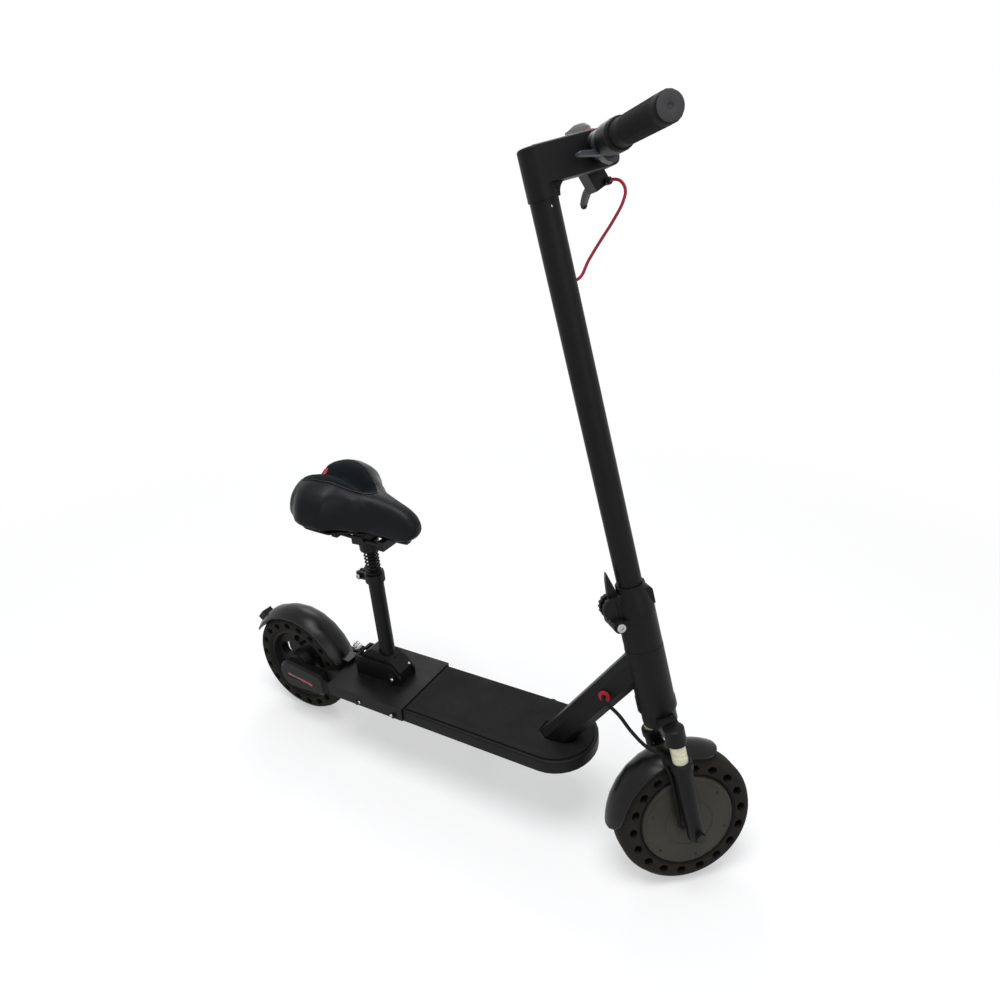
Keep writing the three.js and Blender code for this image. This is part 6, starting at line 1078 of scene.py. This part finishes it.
# Single screws: node, body, where the line towards it starts and leads, and its share of a screw's radius
LONE_SCREWS = (
    ("seat_tube", "frame", Vector((0.30, 0.0139, 0.2334)), Vector((-0.67, 0, -0.75)), 0.8),
    ("seat_collar", "frame", Vector((0.1765, -0.1, 0.3625)), WORLD_SIDE, 1.35),
    ("stem_tube", "stem", Vector((0.5472, -0.0107, 0.9876)) + STEM_SCREW_OUT * CLEAR, -STEM_SCREW_OUT, 0.5),
)


class SCOOTER_OT_screws(bpy.types.Operator):
    """Seats the small screws of the seat plate, axle covers, seat collar and stem"""

    bl_idname = "scooter.screws"
    bl_label = "Seat the screws"

    def execute(self, context):
        radius = context.scene.scooter_trim.screw
        builders = {}

        def drive(nodes, body, start, direction, size, kind="steel"):
            hit = seat(tree_of(*nodes), start, direction)
            if hit is None:
                raise RuntimeError(f"no surface of {nodes} for a screw")
            builder = builders.setdefault((body, kind), Builder())
            screw(builder, hit[0], -direction, size)

        for flank, cover in ((-1, "rear_cover_right"), (1, "rear_cover_left")):
            rows = [(place, ("seat_base", "deck_frame"), 1.0, "steel") for place in PLATE_SCREWS]
            rows += [(COVER_SCREW, (cover,), 0.6, "dark_steel"), (BASE_SCREW, ("seat_base",), 1.1, "steel")]
            for (x, z), nodes, share, kind in rows:
                start = Vector((x, CLEAR_SIDE * flank, z))
                drive(nodes, "frame", start, WORLD_SIDE * -flank, radius * share, kind)
        for node, body, start, direction, share in LONE_SCREWS:
            drive((node,), body, start, direction, radius * share)
        for (body, kind), builder in builders.items():
            builder.make(f"{body}_{kind}_screws", kind, body, "steel")
        return {"FINISHED"}


# Strokes of the display's two numerals: where each starts and ends, across and up, in shares of a numeral
STROKES = {
    "top": ((0, 2), (1, 2)),
    "upper_left": ((0, 1), (0, 2)),
    "upper_right": ((1, 1), (1, 2)),
    "middle": ((0, 1), (1, 1)),
    "lower_left": ((0, 0), (0, 1)),
    "lower_right": ((1, 0), (1, 1)),
    "foot": ((0, 0), (1, 0)),
}
NUMERALS = (("upper_right", "lower_right"), tuple(STROKES))
NUMERAL_PITCH = 1.6
NUMERAL_HEIGHT = 0.95
NUMERALS_START = (-1.3, -0.6)
STROKE_RADIUS = 0.09
STROKE_SQUASH = 0.3
STROKE_LIFT = 0.00005
# The level bars below the numerals, in shares of a numeral's width
LEVEL_BARS = 4
LEVEL_PITCH = 0.7
LEVEL_START = (-1.35, -1.5)
LEVEL_LENGTH = 0.45
LEVEL_RADIUS = 0.13
LEVEL_SQUASH = 0.25
# Outlines of turned trim: out and along, in metres
GLASS_PROFILE = ((0.0088, -0.0006), (0.0088, 0.0004), (0.0066, 0.0011), (0.0025, 0.0015))
FERRULE_PROFILE = ((0.0026, 0.0), (0.0034, 0.0005), (0.0034, 0.0060), (0.0029, 0.0075), (0.0024, 0.0100))
BEZEL_OUT = 0.0098
BEZEL_RADIUS = 0.0011


class SCOOTER_OT_head(bpy.types.Operator):
    """Gives the head its lamp glass and bezel, the display its marks, and the brake cable its ferrule"""

    bl_idname = "scooter.head"
    bl_label = "Finish the head"

    def execute(self, context):
        start = middle_of("headlight") + STEER_FORWARD * CLEAR
        place, _ = seat(tree_of("headlight"), start, -STEER_FORWARD)
        make_turned("headlight_glass", "clear_glass", "stem", "dark_glass", place, STEER_FORWARD,
                    GLASS_PROFILE, CAP_SIDES)
        bezel = Builder()
        around = spokes(STEER_SIDE, STEER_UP, CAP_SIDES)
        bezel.tube([place + outward * BEZEL_OUT for outward in around], BEZEL_RADIUS, BEAD_SIDES, closed=True)
        bezel.make("headlight_bezel", "dark_plastic", "stem", "dark_glass")
        self.display(context.scene.scooter_trim.numeral)
        start, after = Vector(BRAKE_LINE[0]), Vector(BRAKE_LINE[1])
        along = (after - start).normalized()
        make_turned("brake_ferrule", "dark_plastic", "stem", "dark_plastic", start, along,
                    FERRULE_PROFILE, FERRULE_SIDES)
        return {"FINISHED"}

    def display(self, width):
        """Two plain numerals and four level bars, just above the glass"""
        middle = middle_of("display_panel")
        place, normal = seat(tree_of("display_panel"), middle + STEER_UP * CLEAR, -STEER_UP)
        right = -STEER_SIDE
        marks = Builder()

        def mark(path, radius, squash):
            marks.tube(path, width * radius, THREAD_SIDES, squash=squash, up=normal)

        for k, strokes in enumerate(NUMERALS):
            start = place + normal * STROKE_LIFT + right * (width * (k * NUMERAL_PITCH + NUMERALS_START[0]))
            for stroke in strokes:
                path = []
                for across, up in STROKES[stroke]:
                    rise = width * (up * NUMERAL_HEIGHT + NUMERALS_START[1])
                    path.append(start + right * (width * across) + STEER_FORWARD * rise)
                mark(path, STROKE_RADIUS, STROKE_SQUASH)
        for k in range(LEVEL_BARS):
            foot = place + right * (width * (LEVEL_PITCH * k + LEVEL_START[0]))
            foot += STEER_FORWARD * (width * LEVEL_START[1])
            mark([foot, foot + right * (width * LEVEL_LENGTH)], LEVEL_RADIUS, LEVEL_SQUASH)
        marks.make("display_marks", "mark", "stem", "dark_glass")


# The reflector in an axle cover: where its strip starts, how far it runs, its steps and its section
STRIP_START = Vector((0.004, 0, 0.1088))
STRIP_RUN = Vector((0.062, 0, -0.0070))
STRIP_STEPS = 12
STRIP_RADIUS = 0.0029
STRIP_SQUASH = 0.45
# The tail lamp's direction from the rear hub, and a distance beyond it
TAIL_LAMP_TURN = math.radians(142)
TAIL_LAMP_CLEAR = 0.3
LENS_PROFILE = ((0.0068, -0.0005), (0.0068, 0.0008), (0.0055, 0.0015), (0.0025, 0.0018))
LENS_STRETCH = 0.8


class SCOOTER_OT_reflectors(bpy.types.Operator):
    """Sets the red reflectors in the rear axle covers and the tail lamp's lens"""

    bl_idname = "scooter.reflectors"
    bl_label = "Set the reflectors"

    def execute(self, context):
        for out, node in ((-WORLD_SIDE, "rear_cover_right"), (WORLD_SIDE, "rear_cover_left")):
            starts = [STRIP_START + STRIP_RUN * (k / STRIP_STEPS) for k in range(STRIP_STEPS + 1)]
            hits = landed(tree_of(node), [(start + out * CLEAR_SIDE, -out) for start in starts])
            strip = Builder()
            strip.tube([place for place, _ in hits], STRIP_RADIUS, BEAD_SIDES, squash=STRIP_SQUASH, up=out)
            strip.make(f"{node}_reflector", "red_lens", "frame", "red_lens")
        outward = spoke(Vector((1, 0, 0)), WORLD_UP, TAIL_LAMP_TURN)
        hit = seat(tree_of("tail_light"), REAR_HUB + outward * TAIL_LAMP_CLEAR, -outward)
        if hit is None:
            raise RuntimeError("no face of the tail light for its lens")
        make_turned("tail_light_lens", "red_lens", "frame", "red_lens", hit[0], outward, LENS_PROFILE,
                    LENS_SIDES, side=WORLD_SIDE, stretch=LENS_STRETCH)
        return {"FINISHED"}


# Rigid pieces

# Nodes whose finish is not the one of their record slot
OWN_FINISHES = {
    "hub_motor": "hub", "tail_light": "dark_plastic", "front_axle": "dark_steel", "bell_dome": "bell"
}
# Nodes that a fuller piece of this scene stands for
FULLER_PIECES = ("saddle_cushion", "brake_cable", "motor_cable_upper", "motor_cable_lower")
SPRING = "seat_spring"
# How round the edges of a piece are, as a share of most pieces' edges
EDGE_SHARES = {"deck_frame": 2.4, "neck_frame": 7.0, SPRING: 0.0, "front_tyre": 1.6, "rear_tyre": 1.6}
SAME_PLACE = 0.000002
FLAT_ANGLE = math.radians(0.6)
SHARP_ANGLE = math.radians(38.0)
# Which of a tyre's edges run around the wheel and are long enough to split, and the most a point is lifted
EVEN = 0.00005
TREAD_REACH = 0.085
LONG_EDGE = 0.008
ROUND_CUTS = 3
MOST_LIFT = 0.002


class SCOOTER_OT_finishes(bpy.types.Operator):
    """Makes the finishes and puts each CAD piece's own on it"""

    bl_idname = "scooter.finishes"
    bl_label = "Finish the pieces"

    def execute(self, context):
        colours = context.scene.scooter_finish
        worn = shade(colours.paint, WORN_LIGHTER)
        for slot, (label, setting, rough, pattern, inputs, bump, more) in FINISH_ROWS.items():
            colour = getattr(colours, setting)
            FINISHES[slot] = finish(label, colour, rough, pattern, inputs, bump, worn, **more)
        for name, slot in SLOTS.items():
            materials = NODES[name].data.materials
            materials.clear()
            materials.append(FINISHES[OWN_FINISHES.get(name, slot)])
        return {"FINISHED"}


class SCOOTER_OT_shells(bpy.types.Operator):
    """Joins the faces of the rigid pieces, rounds their edges and smooths their curves"""

    bl_idname = "scooter.shells"
    bl_label = "Round the rigid pieces"

    def execute(self, context):
        edge = context.scene.scooter_trim.edge
        for name, slot in SLOTS.items():
            if name not in FULLER_PIECES:
                self.round(name, slot, edge * EDGE_SHARES.get(name, 1.0))
        return {"FINISHED"}

    def round(self, name, slot, edge):
        mesh = NODES[name].data.copy()
        tidy = bmesh.new()
        tidy.from_mesh(mesh)
        bmesh.ops.remove_doubles(tidy, verts=tidy.verts, dist=SAME_PLACE)
        bmesh.ops.dissolve_limit(tidy, angle_limit=FLAT_ANGLE, verts=tidy.verts, edges=tidy.edges)
        if name in WHEELS:
            _, hub, axle, _ = WHEELS[name]
            self.make_round(tidy, hub, axle)
        tidy.to_mesh(mesh)
        tidy.free()
        piece = new_object(f"{name}_shell", mesh)
        if edge:
            bake(piece, "BEVEL", width=edge, segments=2, limit_method="ANGLE", angle_limit=SHARP_ANGLE)
        smooth_shade(piece.data, SHARP_ANGLE)
        bake(piece, "WEIGHTED_NORMAL", keep_sharp=True)
        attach(piece, NODES[name]["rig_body"])
        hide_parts(name)
        if name == SPRING:
            self.compress(piece)

    def make_round(self, tidy, hub, axle):
        """Splits the long edges that run around a tyre and lifts the new points to the edge's own radius"""

        def place(vertex):
            """How far along the axle a point lies, and the line from the axle to it"""
            arm = vertex.co - hub
            side = arm.dot(axle)
            return side, arm - axle * side

        rows = set()
        around = []
        for edge in tidy.edges:
            (side, arm), (other_side, other_arm) = map(place, edge.verts)
            reach = arm.length
            even = abs(side - other_side) < EVEN and abs(reach - other_arm.length) < EVEN
            if even and reach > TREAD_REACH and edge.calc_length() > LONG_EDGE:
                rows.add((side, reach))
                around.append(edge)
        made = bmesh.ops.subdivide_edges(tidy, edges=around, cuts=ROUND_CUTS)["geom_inner"]
        for vertex in [part for part in made if isinstance(part, bmesh.types.BMVert)]:
            side, arm = place(vertex)
            lifts = [reach - arm.length for row_side, reach in rows if abs(row_side - side) < EVEN * 2]
            lift = min((lift for lift in lifts if lift > 0), default=MOST_LIFT)
            if lift < MOST_LIFT:
                vertex.co += arm.normalized() * lift

    def compress(self, piece):
        """Gives the saddle's spring its own copy of its mesh"""
        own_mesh(piece)


# Where the floor turns from keeping the shadow to plain white
FLOOR_MIDDLE = (0.37, 0.0, 0.0)
FLOOR_FADE = (0.75, 1.9)
FLOOR_GLOW = 0.42
FLOOR_DROP = -0.0009
WHITE = (1.0, 1.0, 1.0, 1.0)
ROOM_COLOUR = (0.95, 0.97, 1.0, 1.0)
# Each lamp's place from the object's middle, its size and the setting of its power
LAMPS = (
    ("key_lamp", Vector((0.2, -0.7, 3.0)), 2.0, "key"),
    ("fill_lamp", Vector((2.6, -1.6, 1.2)), 1.8, "fill"),
    ("rim_lamp", Vector((-1.6, 2.2, 1.8)), 1.6, "rim"),
)


def seen_rays(tree):
    """1 for rays that show a surface: straight, mirrored or through glass"""
    rays = add_node(tree, "ShaderNodeLightPath").outputs
    seen = math_node(tree, "MAXIMUM", rays["Is Camera Ray"], rays["Is Glossy Ray"])
    return math_node(tree, "MAXIMUM", seen, rays["Is Transmission Ray"])


def blend_shaders(tree, factor, first, second, output):
    values = {"Fac": factor, 1: first.outputs[0], 2: second.outputs[0]}
    blend = add_node(tree, "ShaderNodeMixShader", values)
    put(tree, output.inputs["Surface"], blend.outputs[0])


class SCOOTER_OT_stage(bpy.types.Operator):
    """Sets the photo's camera, the pale floor, the soft lamps and the white surroundings"""

    bl_idname = "scooter.stage"
    bl_label = "Set the stage"

    def execute(self, context):
        settings = context.scene.scooter_stage
        context.scene.view_settings.view_transform = "Standard"
        self.camera(context)
        self.floor(settings)
        self.world(context, settings)
        middle = (Vector(CAD_BOX[0]) + Vector(CAD_BOX[1])) / 2
        for name, place, size, power in LAMPS:
            self.lamp(name, middle + place, middle, size, getattr(settings, power))
        return {"FINISHED"}

    def camera(self, context):
        flat_ahead = spoke(Vector((1, 0, 0)), WORLD_SIDE, CAMERA_YAW)
        ahead = spoke(flat_ahead, WORLD_UP, CAMERA_PITCH)
        level_right = flat_ahead.cross(WORLD_UP)
        level_up = level_right.cross(ahead)
        right = spoke(level_right, level_up, CAMERA_ROLL)
        up = spoke(level_up, -level_right, CAMERA_ROLL)
        data = bpy.data.cameras.new("photo_camera")
        data.sensor_width = SENSOR
        data.lens = FOCAL_PIXELS / PHOTO_SIDE * SENSOR
        data.shift_x = (PHOTO_SIDE / 2 - PRINCIPAL_X) / PHOTO_SIDE
        data.shift_y = (PRINCIPAL_Y - PHOTO_SIDE / 2) / PHOTO_SIDE
        data.clip_start = NEAREST
        camera = new_object("photo_camera", data)
        turn = Matrix((right, up, -ahead)).transposed().to_4x4()
        camera.matrix_world = Matrix.Translation(CAMERA_PLACE) @ turn
        context.scene.camera = camera

    def floor(self, settings):
        """A pale floor that keeps the shadow and turns white far from it"""
        material = bpy.data.materials.new("Pale floor")
        material.use_nodes = True
        tree = material.node_tree
        shader = tree.nodes["Principled BSDF"]
        looks = {"Base Color": (*settings.floor, 1.0), "Roughness": 0.9, "Specular IOR Level": 0.1}
        for key, value in looks.items():
            put(tree, shader.inputs[key], value)
        glow = add_node(tree, "ShaderNodeEmission", {"Color": WHITE, "Strength": 1.0})
        values = {0: surface(tree, "Position"), 1: FLOOR_MIDDLE}
        apart = add_node(tree, "ShaderNodeVectorMath", values, operation="DISTANCE").outputs["Value"]
        share = mapped(tree, apart, *FLOOR_FADE, FLOOR_GLOW, 1.0)
        white = math_node(tree, "MULTIPLY", seen_rays(tree), share)
        output = next(node for node in tree.nodes if node.type == "OUTPUT_MATERIAL")
        blend_shaders(tree, white, shader, glow, output)
        half = settings.floor_size / 2
        sides = ((-half, -half), (half, -half), (half, half), (-half, half))
        corners = [(x, y, FLOOR_DROP) for x, y in sides]
        mesh = bpy.data.meshes.new("floor")
        mesh.from_pydata(corners, [], [(0, 1, 2, 3)])
        mesh.materials.append(material)
        new_object("floor", mesh)

    def world(self, context, settings):
        """Soft light all round, and plain white where it is seen"""
        world = bpy.data.worlds.new("soft_room")
        context.scene.world = world
        world.use_nodes = True
        tree = world.node_tree
        tree.nodes.clear()
        room = add_node(tree, "ShaderNodeBackground", {"Color": ROOM_COLOUR, "Strength": settings.sky})
        white = add_node(tree, "ShaderNodeBackground", {"Color": WHITE, "Strength": 1.0})
        blend_shaders(tree, seen_rays(tree), room, white, add_node(tree, "ShaderNodeOutputWorld"))

    def lamp(self, name, place, target, size, power):
        data = bpy.data.lights.new(name, "AREA")
        data.shape = "DISK"
        data.size = size
        data.energy = power
        lamp = new_object(name, data)
        lamp.location = place
        lamp.rotation_euler = (target - place).to_track_quat("-Z", "Y").to_euler()


class SCOOTER_PT_dressing(bpy.types.Panel):
    """Lists the dressing's sizes, colours and steps"""

    bl_idname = "SCOOTER_PT_dressing"
    bl_label = "Scooter dressing"
    bl_space_type = "VIEW_3D"
    bl_region_type = "UI"
    bl_category = "Scooter"

    def draw(self, context):
        for group in GROUPS:
            settings = getattr(context.scene, group)
            box = self.layout.box()
            for name in settings.__annotations__:
                box.prop(settings, name)
        for operator in OPERATORS:
            self.layout.operator(operator.bl_idname)


GROUPS = {
    "scooter_finish": ScooterFinishSettings,
    "scooter_saddle": ScooterSaddleSettings,
    "scooter_trim": ScooterTrimSettings,
    "scooter_stage": ScooterStageSettings,
}
OPERATORS = (
    SCOOTER_OT_finishes,
    SCOOTER_OT_stage,
    SCOOTER_OT_cables,
    SCOOTER_OT_shells,
    SCOOTER_OT_saddle,
    SCOOTER_OT_grips,
    SCOOTER_OT_deck_mat,
    SCOOTER_OT_tyres,
    SCOOTER_OT_hub,
    SCOOTER_OT_screws,
    SCOOTER_OT_head,
    SCOOTER_OT_reflectors,
)


def register():
    for group in GROUPS.values():
        bpy.utils.register_class(group)
    for name, group in GROUPS.items():
        setattr(bpy.types.Scene, name, bpy.props.PointerProperty(type=group))
    for operator in OPERATORS:
        bpy.utils.register_class(operator)
    bpy.utils.register_class(SCOOTER_PT_dressing)


def unregister():
    bpy.utils.unregister_class(SCOOTER_PT_dressing)
    for operator in reversed(OPERATORS):
        bpy.utils.unregister_class(operator)
    for name in GROUPS:
        delattr(bpy.types.Scene, name)
    for group in GROUPS.values():
        bpy.utils.unregister_class(group)


def main():
    register()
    for operator in OPERATORS:
        group, name = operator.bl_idname.split(".")
        getattr(getattr(bpy.ops, group), name)()
    bpy.context.view_layer.update()


if __name__ == "__main__":
    main()
